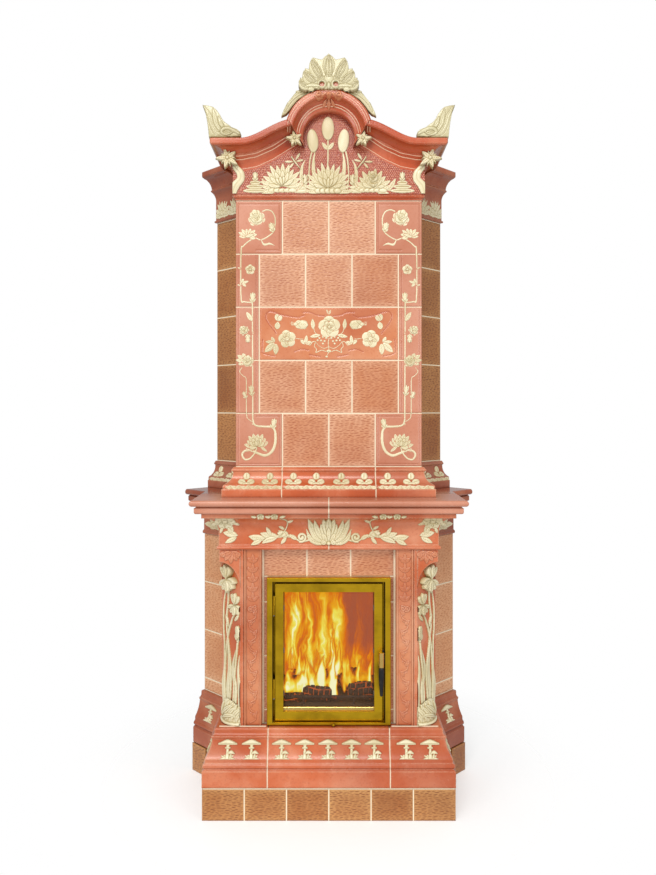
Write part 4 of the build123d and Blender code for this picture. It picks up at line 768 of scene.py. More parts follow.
# %% [markdown]
# Where the tiles lie. The upper front has five rows: the first and the last begin with a square
# corner tile, and the three between with a narrow border tile, which leaves room for three plain
# tiles or for one wide picture tile. A joint of three millimetres runs between all of them, half of
# it taken from each tile.

# %% Plain tiles of the upper front
GAP = JOINT / 2
CORNER_TILE = 167.5
BORDER_TILE = 84.0


def lay_tiles(body, side, foot, runs, rows, seed, step=2.0):
    """Lays rippled tiles on a face: runs are (start, end) along it, rows (foot, top) up it."""
    for low, high in rows:
        for left, right in runs:
            put = upright(side, foot=foot + low + GAP, start=left + GAP)
            rippled_tile(body, put, right - left - JOINT, high - low - JOINT, seed, step)
            seed += 1


def row_at(*numbers):
    """Rows of full tiles, counted from the foot of the tier."""
    return [(n * ROW, (n + 1) * ROW) for n in numbers]


front_face, front_length = upper["front"]
plain = Body()
outer_runs = [(CORNER_TILE, UPPER_HALF), (UPPER_HALF, 2 * UPPER_HALF - CORNER_TILE)]
inner_third = (front_length - 2 * BORDER_TILE) / 3
inner_runs = [(BORDER_TILE + i * inner_third, BORDER_TILE + (i + 1) * inner_third)
              for i in range(3)]
lay_tiles(plain, front_face, UPPER_FOOT, outer_runs, row_at(0, 4), 11)
lay_tiles(plain, front_face, UPPER_FOOT, inner_runs, row_at(1, 3), 31)
plain.make("front_tiles", plain_glaze, slot="glaze_plain", stands_for=["plain_tiles_upper"])

# %% [markdown]
# The side faces carry the same tile, in a darker, browner glaze that paints the shade of faces
# turned away from the light. They are one tile long on the face itself and one on the return
# beside it. Their mesh is a little coarser, as they are seen at a slant.

# %% Tiles of the side faces
RETURN_LEG = 84.0        # what a border tile covers of the return
SLANT_STEP = 2.7


def tile_sides(body, tier, foot, rows, leg, seed, apart):
    """Tiles the side faces and the returns; leg is what is covered beside the front."""
    for key in ("left_side", "right_side", "left_return", "right_return"):
        side, length = tier[key]
        run = {"left_side": (-GAP, length), "right_side": (0.0, length + GAP),
               "left_return": (0.0, length - leg), "right_return": (leg, length)}[key]
        lay_tiles(body, side, foot, [run], rows, seed, SLANT_STEP)
        seed += apart


upper_sides = Body()
all_rows = row_at(0, 1, 2, 3, 4)
tile_sides(upper_sides, upper, UPPER_FOOT, all_rows, RETURN_LEG, 60, 20)
# The browner glaze paints the shade of these side faces.
upper_sides.make("side_tiles_top", brown_shade_glaze, slot="glaze_brown", stands_for=["side_tiles_upper"])

# %% [markdown]
# The lower tier starts with a quarter row above the base moulding, so that its joints meet those of
# the recess around the door.

# %% Tiles of the lower tier
LOWER_FOOT = 303.0
lower_rows = [(0.0, ROW / 4)] + [(ROW / 4 + n * ROW, ROW / 4 + (n + 1) * ROW) for n in range(3)]
PILLAR_LEG = 121.0       # what the pillar covers of the return
lower_sides = Body()
tile_sides(lower_sides, lower, LOWER_FOOT, lower_rows, PILLAR_LEG, 140, 10)
lower_sides.make("side_tiles_bottom", pale_glaze, slot="glaze_plain",
                 stands_for=["side_tiles_lower"])

recess = Body()
RECESS_Y, RECESS_HALF, RECESS_HEAD = 88.0, 234.0, 622.0
DOOR_HALF, DOOR_HEAD = 219.0, 522.0
recess_face = face(0, RECESS_Y, 0)
third = 2 * RECESS_HALF / 3
thirds = [(-RECESS_HALF + third * n, -RECESS_HALF + third * (n + 1)) for n in range(3)]
lay_tiles(recess, recess_face, LOWER_FOOT, thirds, [(DOOR_HEAD, RECESS_HEAD)], 180)
slim_levels = (0.0, ROW / 4, 1.25 * ROW, 2.25 * ROW, DOOR_HEAD)
slim_rows = list(zip(slim_levels, slim_levels[1:]))
slim_runs = [(-RECESS_HALF, -DOOR_HALF + GAP), (DOOR_HALF - GAP, RECESS_HALF)]
lay_tiles(recess, recess_face, LOWER_FOOT, slim_runs, slim_rows, 190)
recess.make("recess_tiles", plain_glaze, slot="glaze_plain", stands_for=["niche_tiles"])

# %% [markdown]
# The plinth has six tiles along the front and small ones beside the walls. They are the same clay
# with the darker glaze of the side faces, because they stand where dirt and shadow gather.

# %% Plinth
PLINTH_H, PLINTH_HALF = 107.0, 438.0


def plinth_run(body, side, length, count, seed, step=2.0):
    """Plinth tiles side by side, joints only between them."""
    width = length / count
    for n in range(count):
        left = n * width + (GAP if n else 0.0)
        right = (n + 1) * width - (GAP if n < count - 1 else 0.0)
        rippled_tile(body, upright(side, start=left), right - left, PLINTH_H, seed + n, step)


plinth_front, plinth_side = Body(), Body()
plinth_run(plinth_front, face(-PLINTH_HALF, 0, 0), 2 * PLINTH_HALF, 6, 210)
for corner, length, seed in (
        ((PLINTH_HALF, TILE_T, 90), 231.5, 220), ((-PLINTH_HALF, 255.5, -90), 231.5, 224),
        ((478.62, 321.18, 45), 85.0, 226), ((-538.72, 381.28, -45), 85.0, 227)):
    plinth_run(plinth_side, face(*corner), length, 1, seed, SLANT_STEP)
plinth_front.make("plinth_front", brown_shade_glaze, slot="glaze_brown",
                  stands_for=["plinth_tiles_front"])
plinth_side.make("plinth_returns", brown_shade_glaze, slot="glaze_brown",
                 stands_for=["plinth_tiles_side"])

# %% [markdown]
# ## Relief
# All the flowers on this stove are clay laid on clay. We draw them the way a modeller does: each
# leaf or stem is a strip of clay laid over what is already there, and its edge is pressed down with
# a wooden tool, which leaves a small groove around it. A sheet is a grid of heights. Where nothing
# was laid it stays below the surface of the tile, and those cells are dropped when the mesh is
# made.

# %% A sheet of clay


def along(points, count):
    """A smooth line through points, as evenly spaced samples and the share of the way at each."""
    points = np.array(points, float)
    if len(points) == 2:
        share = np.linspace(0, 1, count)
        return points[0] + (points[1] - points[0]) * share[:, None], share
    ends = np.vstack([2 * points[0] - points[1], points, 2 * points[-1] - points[-2]])
    pieces = []
    fine = np.linspace(0, 1, 24, endpoint=False)[:, None]
    for a, b, c, d in zip(ends, ends[1:], ends[2:], ends[3:]):
        pieces.append(0.5 * (2 * b + (c - a) * fine + (2 * a - 5 * b + 4 * c - d) * fine ** 2
                             + (3 * b - a - 3 * c + d) * fine ** 3))
    line = np.vstack(pieces + [points[-1:]])
    reach = np.concatenate([[0], np.cumsum(np.linalg.norm(np.diff(line, axis=0), axis=1))])
    share = np.linspace(0, 1, count)
    return np.stack([np.interp(share * reach[-1], reach, line[:, k]) for k in range(line.shape[1])],
                    axis=1), share


def rim_lift(inside, width):
    """A rounded rim: 0 at the outline, 1 from width within it."""
    return np.sqrt(np.clip(1 - (1 - np.clip(inside / width, 0, 1)) ** 2, 0, 1))


def other_end(put):
    """The same place at the right end of the stove."""
    def mirrored(u, v, h):
        points = put(u, v, h)
        points[..., 0] *= -1
        return points
    return mirrored


class Sheet:
    """Clay laid on a ground; u and v are millimetres on the face."""

    def __init__(self, u0, u1, v0, v1, step=1.5, floor=-0.9):
        self.u = np.linspace(u0, u1, int(round((u1 - u0) / step)) + 1)
        self.v = np.linspace(v0, v1, int(round((v1 - v0) / step)) + 1)
        self.floor = floor
        self.height = np.full((len(self.v), len(self.u)), float(floor))

    def near(self, low, high):
        """The cells of the sheet between two corners, and the u and v of each."""
        a, b = np.searchsorted(self.u, [low[0], high[0]])
        c, d = np.searchsorted(self.v, [low[1], high[1]])
        cells = np.s_[max(c - 1, 0):d + 1, max(a - 1, 0):b + 1]
        return cells, *np.meshgrid(self.u[cells[1]], self.v[cells[0]])

    def lay(self, cells, inside, height):
        """Lays a shape over what is there; inside is how far within the shape a point lies."""
        under = self.height[cells]
        pressed = np.clip(1 + inside / 1.6, 0, 1) * np.clip(under, 0, None) * 0.6
        self.height[cells] = np.where(inside > 0, height, under - pressed)

    def skin(self, body, put, back=False, turned=False):
        """Adds the clay to a body as a skin whose rim dips below the ground.

        A back is a second, flat skin behind it. Faces are turned where put mirrors them.
        """
        bare = self.height <= self.floor + 1e-6
        keep = ~(bare[:-1, :-1] & bare[1:, :-1] & bare[:-1, 1:] & bare[1:, 1:])
        uu, vv = np.meshgrid(self.u, self.v)
        dips = hollows(np.clip(self.height, 0, None), 5, 1.1)
        body.grid(put(uu, vv, self.height), dips, 0.0, keep, turned)
        if back:
            flat = np.full_like(self.height, self.floor)
            body.grid(put(uu, vv, flat), None, 0.0, keep, not turned)

    def both_ends(self, body, put, back=False):
        """Adds the clay where put places it, and mirrored on the right of the stove."""
        self.skin(body, put, back)
        self.skin(body, other_end(put), back, turned=True)


class Pen:
    """Draws on a sheet from a place, with a turn in degrees, a size and a mirror."""

    def __init__(self, sheet, x=0.0, y=0.0, turn=0.0, size=1.0, mirror=False, top=3.2):
        self.sheet, self.size, self.mirror, self.top = sheet, size, mirror, top
        self.origin = np.array([x, y], float)
        self.turn = math.radians(turn)

    def spot(self, points):
        p = np.array(points, float) * self.size
        if self.mirror:
            p[:, 0] *= -1
        c, s = math.cos(self.turn), math.sin(self.turn)
        return p @ np.array([[c, s], [-s, c]]) + self.origin

    def at(self, x, y, turn=0.0, size=1.0, mirror=False, top=1.0):
        """A pen moved within this one."""
        place = self.spot([(x, y)])[0]
        lean = math.degrees(self.turn) + (-turn if self.mirror else turn)
        return Pen(self.sheet, place[0], place[1], lean, self.size * size, self.mirror != mirror,
                   self.top * top)

    def stroke(self, points, widths, top=1.0, vein=0.0, ribs=0.0, pitch=7.0):
        """A strip along a smooth line; widths are half widths spread evenly along it."""
        line, share = along(self.spot(points), 44)
        length = np.linalg.norm(np.diff(line, axis=0), axis=1).sum()
        if length > 100:
            line, share = along(self.spot(points), int(length / 2.2))
        half = np.interp(share, np.linspace(0, 1, len(widths)), widths) * self.size
        rim = half.max() + 2.5
        cells, uu, vv = self.sheet.near(line.min(axis=0) - rim, line.max(axis=0) + rim)
        if uu.size == 0:
            return
        inside, side, nearest = np.full(uu.shape,
                                        -1e9), np.full(uu.shape, 1e9), np.zeros(uu.shape, int)
        for k in range(len(line)):
            far = np.hypot(uu - line[k, 0], vv - line[k, 1])
            inside = np.maximum(inside, half[k] - far)
            nearest = np.where(far < side, k, nearest)
            side = np.minimum(side, far)
        lift = rim_lift(inside, np.maximum(half[nearest] * 0.9, 1.0))
        height = self.top * top * (0.25 + 0.75 * lift)
        if vein:
            height = height - vein * self.top * np.exp(-(side / (0.16 * half.max() + 0.5)) ** 2)
        if ribs:
            wave = np.cos(2 * math.pi * (share[nearest] * length - 0.9 * side)
                          / (pitch * self.size))
            height = height - ribs * self.top * np.clip(wave, 0, 1) * lift
        self.sheet.lay(cells, inside, height)

    def leaf(self, length, width, bend=0.0, top=1.0, vein=0.3, ribs=0.18, belly=0.45, stalk=0.15):
        """A pointed leaf from the pen's place along its turn."""
        path = [(0, 0), (length * 0.5, bend), (length, bend * 0.3)]
        shape = np.sin(np.linspace(0, 1, 12) ** (math.log(0.5) / math.log(belly))
                       * math.pi) * width / 2
        shape[0] = stalk * width / 2
        self.stroke(path, shape, top, vein, ribs)

    def petal(self, length, width, top=1.0):
        """A blunt petal, widest near its tip."""
        self.stroke([(0, 0), (length - width / 2, 0)],
                    [width * 0.16, width * 0.36, width / 2], top, vein=0.16)

    def oval(self, x, y, rx, ry, top=1.0, dome=0.9, dent=0.0):
        centre = self.spot([(x, y)])[0]
        rx, ry = rx * self.size, ry * self.size
        rim = max(rx, ry) + 2.5
        cells, uu, vv = self.sheet.near(centre - rim, centre + rim)
        uu, vv = uu - centre[0], vv - centre[1]
        c, s = math.cos(self.turn), math.sin(self.turn)
        q = np.hypot((uu * c + vv * s) / rx, (vv * c - uu * s) / ry)
        inside = (1 - q) * min(rx, ry)
        lift = np.sqrt(np.clip(1 - np.clip(1 - (1 - q) / dome, 0, 1) ** 2, 0, 1))
        height = self.top * top * (0.25 + 0.75
                                   * lift) - dent * self.top * np.clip(1 - q / 0.6, 0, 1)
        self.sheet.lay(cells, inside, height)

    def patch(self, outline, top=1.0, dome=8.0):
        """A flat piece of clay cut to a closed outline, with a rounded rim."""
        line = self.spot(outline)
        cells, uu, vv = self.sheet.near(line.min(axis=0) - 3, line.max(axis=0) + 3)
        far, within = np.full(uu.shape, 1e9), np.zeros(uu.shape, bool)
        for (x0, y0), (x1, y1) in zip(line, np.roll(line, -1, axis=0)):
            dx, dy = x1 - x0, y1 - y0
            t = np.clip(((uu - x0) * dx + (vv - y0) * dy) / (dx * dx + dy * dy + 1e-9), 0, 1)
            far = np.minimum(far, np.hypot(uu - x0 - t * dx, vv - y0 - t * dy))
            if abs(dy) > 1e-9:
                within ^= ((y0 > vv) != (y1 > vv)) & (uu < x0 + (vv - y0) * dx / dy)
        inside = np.where(within, far, -far)
        self.sheet.lay(cells, inside, self.top * top * (0.25 + 0.75 * rim_lift(inside, dome)))

    def stem(self, points, width=2.6):
        self.stroke(points, [width], 0.7)

    def leaves(self, *spots, **how):
        """Several leaves of a kind, each as x, y, turn, length and width."""
        for x, y, turn, length, width in spots:
            self.at(x, y, turn).leaf(length, width, **how)


print("a leaf is", len(along([(0, 0), (5, 2), (9, 0)], 44)[0]), "samples long")

# %% [markdown]
# The plants: water lilies, roses, five-petalled flowers, cattails, dragonflies, irises, clover and
# toadstools. All are traditional subjects of pottery, drawn here from leaves and petals, from the
# back to the front.

# %% Plants


def lily(pen, petals, length, spread, width):
    """A water lily seen from the side: a ring of pointed petals, shorter ones in front."""
    order = sorted(range(petals), key=lambda k: -abs(k - (petals - 1) / 2))
    for k in order:
        lean = (k - (petals - 1) / 2) / ((petals - 1) / 2) * spread
        reach = length * (1.0 - 0.10 * abs(lean) / spread + 0.07 * math.sin(2.4 * k + length))
        pen.at(0, 0, 90 - lean).leaf(reach, width, bend=-lean * 0.05,
                                     top=1.0 - 0.25 * abs(lean) / spread, belly=0.56)
    for lean in (-70, 70, -38, 38, -12, 16):
        pen.at(0, -1, 90 - lean).leaf(length * (0.70 - 0.0016 * abs(lean)), width * 0.86,
                                      bend=-lean * 0.06,
                                      top=1.3, belly=0.6, ribs=0.1)
    for lean in (-24, 26, 2):
        pen.at(0, -1, 90 - lean).leaf(length * 0.42, width * 0.7, top=1.6, belly=0.6, ribs=0.0)


def open_flower(pen, r, petals=5):
    """An open flower with round petals."""
    for k in range(petals):
        pen.at(0, 0, 90 + 360 * k / petals).petal(r, r * 1.08 * 5 / petals)
    for k in range(petals):
        pen.at(0, 0, 90 + 360 * (k + 0.5) / petals).stroke(
            [(r * 0.28, 0), (r * 0.62, 0)], [r * 0.06, r * 0.1, 0.6], 1.05)
    pen.oval(0, 0, r * 0.24, r * 0.24, 1.3, dent=0.5)
    for k in range(8):
        a = math.radians(45 * k)
        pen.oval(r * 0.33 * math.cos(a), r * 0.33 * math.sin(a), 1.5, 1.5, 1.25)


def rose(pen, r):
    """A garden rose from the side: a cup of petals, a rolled heart and two turned down."""
    for lean, reach, wide in ((205, 0.98, 0.8), (-25, 0.98, 0.8), (165, 1.0, 0.86), (15, 1.0, 0.86),
                              (250, 0.8, 0.8),
                              (290, 0.8, 0.8)):
        pen.at(0, 0, lean).petal(r * reach, r * wide, 0.85)
    pen.oval(0, r * 0.16, r * 0.78, r * 0.86, 1.15, dome=0.9)
    for lean, out in ((118, 0.52), (62, 0.52), (90, 0.62)):
        pen.at(0, r * 0.05, lean).petal(r * (out + 0.46), r * 0.62, 1.3)
    pen.stroke([(-r * 0.62, r * 0.28), (-r * 0.2, -r * 0.36), (r * 0.5, -r * 0.1)],
               [r * 0.06, r * 0.2, r * 0.06], 1.4)
    pen.stroke([(r * 0.64, r * 0.3), (r * 0.26, -r * 0.28), (-r * 0.3, -r * 0.3)],
               [r * 0.06, r * 0.2, r * 0.05], 1.5)
    pen.oval(0, r * 0.36, r * 0.3, r * 0.26, 1.65, dent=0.7)
    pen.oval(0, r * 0.36, r * 0.11, r * 0.1, 1.6)


def bud(pen, length, width):
    """A closed bud, pointing along the pen."""
    pen.leaves((length * 0.1, 0, 14, length * 0.86, width * 0.62),
               (length * 0.1, 0, -14, length * 0.86, width * 0.62), top=1.0)
    pen.leaf(length, width * 0.8, top=1.3, vein=0.1)
    for lean in (35, -35):
        pen.at(0, 0, lean).leaf(length * 0.5, width * 0.32, bend=lean * 0.06, top=1.0, ribs=0)
    pen.oval(0, 0, width * 0.17, width * 0.17)


def leaf_spray(pen, size):
    """Three leaves on one stalk."""
    for lean, reach in ((58, 0.72), (-58, 0.72), (0, 1.0)):
        pen.at(0, 0, lean).leaf(size * reach, size * 0.42, top=0.95)


def star(pen, r):
    """A star flower: slender pointed petals, narrow ones between them and a knob in the middle."""
    for k in range(5):
        pen.at(0, 0, 126 + 72 * k).leaf(r * 0.72, r * 0.2, top=0.7, belly=0.45, stalk=0.7)
    for k in range(5):
        pen.at(0, 0, 90 + 72 * k).leaf(r * (1.1 if k % 2 else 0.95), r * 0.42, top=1.0, belly=0.36,
                                       stalk=0.7)
    pen.oval(0, 0, r * 0.16, r * 0.16, 1.4)


def cattail(pen, rx, ry):
    """The head of a cattail, with its seeds scored into it."""
    pen.oval(0, 0, rx, ry, 2.2, dome=0.95)
    cells, uu, vv = pen.sheet.near(pen.origin - [rx, ry], pen.origin + [rx, ry])
    uu, vv = uu - pen.origin[0], vv - pen.origin[1]
    q = (uu / rx) ** 2 + (vv / ry) ** 2
    score = np.abs(np.sin((uu + vv) * 0.42)) * np.abs(np.sin((uu - vv) * 0.42))
    pen.sheet.height[cells] -= np.where(q < 0.85, (1 - score) * 1.1, 0)


def dragonfly(pen, r):
    """A dragonfly with four spread wings."""
    for lean, reach in ((152, 0.95), (-158, 0.8), (32, 0.95), (-16, 0.85)):
        pen.at(0, 0, lean).leaf(r * reach, r * 0.22, top=0.85, ribs=0.1, belly=0.6)
    pen.stroke([(-2, r * 0.42), (0, 0), (6, -r * 0.85)], [2.6, 3.0, 1.3], 1.1)
    pen.oval(-2, r * 0.48, 3.4, 3.4, 1.2)


def iris(pen, r):
    """An iris: three petals hang, three stand."""
    for lean in (200, -20, 232, -52):
        pen.at(0, 0, lean).leaf(r * 0.95, r * 0.46, bend=3, top=1.1, belly=0.6)
    pen.at(0, 2, -90).leaf(r * 0.95, r * 0.6, top=1.35, belly=0.6)
    for lean in (62, 118):
        pen.at(0, 0, lean).leaf(r * 1.05, r * 0.5, bend=0, top=1.25, belly=0.6)
    pen.at(0, 0, 90).leaf(r * 1.12, r * 0.46, top=1.6, belly=0.6)


def trefoil(pen):
    """Clover: a round middle leaf over two wide ones that droop a little."""
    for side in (-1, 1):
        lobe = pen.at(side * 16, 14, side * 24)
        lobe.oval(0, 0, 13.5, 12.5, 1.0, dome=0.8)
        lobe.stroke([(-side * 12, 0), (side * 10, 0)], [0.9], 0.62)
    pen.oval(0, 37, 12, 13, 1.15, dome=0.8)
    pen.stroke([(0, 26), (0, 45)], [0.9], 0.75)
    pen.stroke([(-11, 1), (0, 6), (11, 1)], [2.2, 5.0, 2.2], 0.9)


def toadstool(pen, wide, tall):
    """A toadstool on a tufted mound, with a small one at its foot."""
    for lean, reach in ((150, 26), (128, 20), (30, 27), (52, 20), (104, 16), (76, 15)):
        pen.at(0, 3, lean).leaf(reach, 8, top=0.7)
    pen.stroke([(-22, 3), (0, 8), (24, 3)], [3, 7, 3], 0.8)
    pen.stroke([(0, 8), (1, tall - 12)], [6.5, 4.2, 5.2], 1.0, vein=0.1)
    pen.stroke([(10, 8), (13, 20)], [3.4, 2.8], 1.1)
    pen.stroke([(3, 22), (13, 26), (23, 22)], [2.4, 6.0, 2.4], 1.4, ribs=0.1)
    pen.stroke([(-7, tall - 26), (8, tall - 26)], [2.4], 1.2)
    pen.stroke([(-wide + 4, tall - 13), (0, tall - 7), (wide - 4, tall - 13)], [3.4, 9.0, 3.4], 1.6,
               ribs=0.14, pitch=5.0)
    pen.stroke([(-wide + 6, tall - 14), (wide - 6, tall - 14)], [1.8], 0.9)


def vine(pen, length, pitch, wave, leaf):
    """A winding stem with a leaf in each bend."""
    count = max(int(round(length / pitch)), 1)
    pitch = length / count
    pen.stem([(x, wave * math.sin(2 * math.pi * x / pitch))
              for x in np.arange(0, length + 1, pitch / 6)], 2.0)
    for k in range(count):
        pen.at((k + 0.10) * pitch, -wave * 0.6, 14).leaf(leaf, leaf * 0.62, top=1.0, belly=0.55)
        pen.at((k + 0.60) * pitch, wave * 0.8, -14).leaf(leaf, leaf * 0.62, top=1.0, belly=0.55)
        pen.oval((k + 0.52) * pitch, -wave * 0.4, 3.4, 3.0, 1.1)


def fan(pen, reach, spread, lobes, width):
    """An upright fan of leaves."""
    order = sorted(range(lobes), key=lambda k: -abs(k - (lobes - 1) / 2))
    for k in order:
        lean = (k - (lobes - 1) / 2) / ((lobes - 1) / 2) * spread
        pen.at(0, 0, 90 - lean).leaf(reach * (1 - 0.3 * (lean / spread) ** 2), width,
                                     bend=-lean * 0.08, top=1.5 - 0.6 * abs(lean) / spread,
                                     belly=0.6, vein=0.35)


def scroll(pen, r, turns, width):
    """A rolled-up tendril."""
    a = np.linspace(0, turns * 2 * math.pi, 22)
    k = r * (1 - 0.78 * a / a[-1])
    pen.stroke(np.stack([k * np.cos(a), k * np.sin(a)], axis=1),
               [width, width * 0.9, width * 1.3])


print("plants ready")

# %% [markdown]
# The narrow border of the upper tier. A rose grows out of each top corner, its stem runs down the
# border tiles with buds and small flowers, and it ends in a looped stem with a water lily at the
# foot. The right side is the left one turned over, so we draw it once. Around the ornament each
# tile has a flat field with a scored line, which is laid on as a thin skin of clay.

# %% Fields of the ornament tiles
FIELD_RISE, SCORE_WIDTH, SCORE_DEPTH = 1.9, 2.0, 1.9


def field(sheet, left, right, foot, top):
    """A flat field with a soft rim, standing a little proud of the tile."""
    uu, vv = np.meshgrid(sheet.u, sheet.v)
    inside = np.minimum(np.minimum(uu - left, right - uu), np.minimum(vv - foot, top - vv))
    rise = np.maximum(sheet.height, FIELD_RISE * rim_lift(inside, 3))
    sheet.height = np.where(inside > 0, rise, sheet.height)


def score(sheet, points):
    """A line scored into the clay."""
    reach = sum(math.dist(a, b) for a, b in zip(points, points[1:]))
    line, _ = along(points, int(reach / 1.4) + 8)
    rim = SCORE_WIDTH + 3
    cells, uu, vv = sheet.near(line.min(axis=0) - rim, line.max(axis=0) + rim)
    far = np.hypot(uu[..., None] - line[:, 0], vv[..., None] - line[:, 1]).min(axis=-1)
    cut = SCORE_DEPTH * np.exp(-(far / SCORE_WIDTH) ** 2)
    part = sheet.height[cells]
    sheet.height[cells] = np.where(part > sheet.floor + 0.1, part - cut, part)


def square_line(sheet, corners):
    """A scored line with sharp corners."""
    for a, b in zip(corners, corners[1:]):
        score(sheet, [a, b])


front_centre = face(0, UPPER_FRONT, 0)
flat_front = upright(front_centre)
grounds, corner_left = Body(), Sheet(-335, -165, UPPER_FOOT, CORNICE_FOOT, 1.6)
rows_z = [UPPER_FOOT + n * ROW for n in range(6)]
for n in range(5):
    inner = -335 + (CORNER_TILE if n in (0, 4) else BORDER_TILE)
    field(corner_left, -334, inner - 2.5, rows_z[n] + 2.5, rows_z[n + 1] - 2.5)
square_line(corner_left, [(-326, 1214), (-326, 2160), (-178, 2160), (-178, 1994), (-262, 1994)])
square_line(corner_left, [(-262, 1979), (-262, 1407)])
square_line(corner_left, [(-261, 1395), (-178, 1395), (-178, 1224), (-326, 1224)])
corner_left.both_ends(grounds, flat_front)

picture = Sheet(-251, 251, rows_z[2], rows_z[3], 1.8)
field(picture, -248.5, 248.5, rows_z[2] + 2.5, rows_z[3] - 2.5)
for side in (-1, 1):
    for line in ([(190, 1694), (226, 1745), (214, 1773), (165, 1760), (112, 1752), (88, 1760)],
                 [(92, 1770), (68, 1770), (42, 1760), (16, 1757)],
                 [(124, 1628), (98, 1637), (72, 1633)], [(70, 1618), (46, 1613), (30, 1611)],
                 [(238, 1672), (240, 1640), (236, 1622), (196, 1612)]):
        score(picture, [(side * x, z) for x, z in line])
picture_clay = Body()
picture.skin(picture_clay, flat_front)
picture_clay.make("picture_field", coral_glaze, slot="glaze_plain")

# %% [markdown]
# The flowers on those fields, in cream slip glaze. All positions are millimetres from the middle of
# the stove and from the floor.

# %% Flowers of the upper tier
flowers = Body()
left = Sheet(-336, -163, UPPER_FOOT, CORNICE_FOOT - 4, 1.4)
pen = Pen(left, top=4.2)
pen.stem([(-238, 2134), (-222, 2139), (-203, 2131), (-193, 2106), (-196, 2070), (-203, 2056),
          (-222, 2041), (-245, 2031), (-266, 2037), (-288, 2026), (-308, 2008), (-316, 1988),
          (-316, 1823), (-304, 1808), (-276, 1803), (-275, 1780), (-274, 1400), (-272, 1376)], 3.0)
pen.stroke([(-244, 2031), (-233, 2014), (-213, 2017), (-194, 2010)], [1.5, 4.5, 4.0, 1.0], 0.8,
           vein=0.2)
for lean, reach in ((178, 34), (156, 40), (132, 38), (104, 30), (74, 32), (44, 36), (16, 34),
                    (-14, 28)):
    pen.at(-290, 2042, lean).leaf(reach, 14, top=0.9, belly=0.55)
pen.at(-300, 2040, 20).leaf(34, 12, top=1.3)
rose(pen.at(-259, 2106, 20), 32)
bud(pen.at(-201, 2060, 104), 36, 23)
pen.leaves((-316, 1925, 150, 16, 7), (-316, 1865, 160, 16, 7), top=0.7)
leaf_spray(pen.at(-312, 1874, 20), 26)
open_flower(pen.at(-283, 1924), 19)
bud(pen.at(-275, 1806, 88), 38, 18)
pen.at(-276, 1738, 122).leaf(40, 18, top=0.95)
pen.at(-276, 1690, 60).leaf(14, 6, top=0.7)
rose(pen.at(-304, 1703, 40), 19)
bud(pen.at(-292, 1690, -88), 32, 17)
for lean, reach in ((196, 36), (172, 44), (148, 46), (122, 36)):
    pen.at(-292, 1592, lean).leaf(reach, 17, top=0.9, belly=0.55)
rose(pen.at(-294, 1590, -10), 23)
pen.stem([(-313, 1570), (-321, 1556), (-309, 1541), (-298, 1530), (-297, 1480), (-296, 1400),
          (-287, 1383), (-274, 1375)], 2.0)
bud(pen.at(-298, 1460, 112), 28, 13)
bud(pen.at(-277, 1470, 95), 40, 15)
pen.stroke([(-274, 1385), (-268, 1366), (-250, 1359), (-207, 1358)], [3.2, 4.2, 4.4], 0.8)
pen.stroke([(-201, 1356), (-193, 1338), (-193, 1300), (-204, 1270), (-228, 1254), (-254, 1261),
            (-276, 1270), (-301, 1271), (-312, 1257), (-303, 1240), (-288, 1241), (-276, 1250),
            (-264, 1268), (-257, 1292)],
           [4.2, 5.4, 5.6, 5.2, 4.6, 4.0, 3.4, 2.6], 0.9)
bud(pen.at(-202, 1352, 78), 38, 18)
lily(pen.at(-258, 1286, 18), 9, 50, 82, 18)
pen.at(-246, 1286, -38).leaf(32, 12, top=0.9)
left.both_ends(flowers, flat_front)

middle = Sheet(-244, 244, rows_z[2] + 6, rows_z[3] - 4, 1.4)
for flip in (False, True):
    half = Pen(middle, top=4.4, mirror=flip)
    leaf_spray(half.at(-196, 1660, 172), 34)
    half.leaves((-196, 1658, 222, 48, 24), (-190, 1656, 268, 40, 21))
    half.leaves((-183, 1736, 100, 26, 20), (-183, 1736, 60, 24, 17), (-183, 1736, 262, 25, 21),
                top=0.95, belly=0.6)
    half.stem([(-118, 1675), (-92, 1673)], 1.6)
    leaf_spray(half.at(-84, 1655, 82), 34)
    half.stem([(-84, 1658), (-68, 1652), (-60, 1662), (-48, 1664), (-52, 1648), (-44, 1636),
               (-46, 1625), (-26, 1633), (-8, 1628)], 2.0)
    half.stroke([(-132, 1732), (-118, 1731)], [3.4, 1.6], 0.7)
    for k in (-14, 0, 14):
        half.at(-116, 1729, 180 + k).leaf(28, 7, top=0.7)
    bud(half.at(-120, 1727, -4), 46, 42)
    half.at(-56, 1708, 94).leaf(40, 16)
    half.stem([(-54, 1712), (-50, 1698), (-40, 1690)], 1.6)
    half.at(-30, 1688, 190).leaf(40, 15)
    for x, z in ((-9, 1677), (-21, 1681), (-34, 1677), (-45, 1682), (-15, 1666), (-28, 1668),
                 (-40, 1669), (-21, 1657)):
        half.oval(x, z, 4.4, 4.0, 0.9)
    half.stem([(-48, 1664), (-36, 1650), (-18, 1640), (0, 1646)], 1.5)
    open_flower(half.at(-150, 1674, 12), 33)
whole = Pen(middle, top=4.6)
whole.leaves((0, 1760, 112, 26, 8), (0, 1760, 70, 22, 8), top=0.7)
open_flower(whole.at(2, 1717, 4), 41, 5)
open_flower(whole.at(2, 1717, 40), 22, 5)
whole.stem([(1, 1676), (-2, 1660), (1, 1630)], 1.8)
whole.oval(0, 1630, 9, 6, 1.0)
whole.stem([(0, 1628), (-4, 1618), (-8, 1611)], 1.4)
whole.oval(-8, 1610, 5, 4, 1.0)
middle.skin(flowers, flat_front)
flowers.make("picture_flowers", cream_glaze, slot="glaze_cream")
flowers = Body()

# %% [markdown]
# Clover and a vine run along the upper base moulding, on the front and round on to the sides.

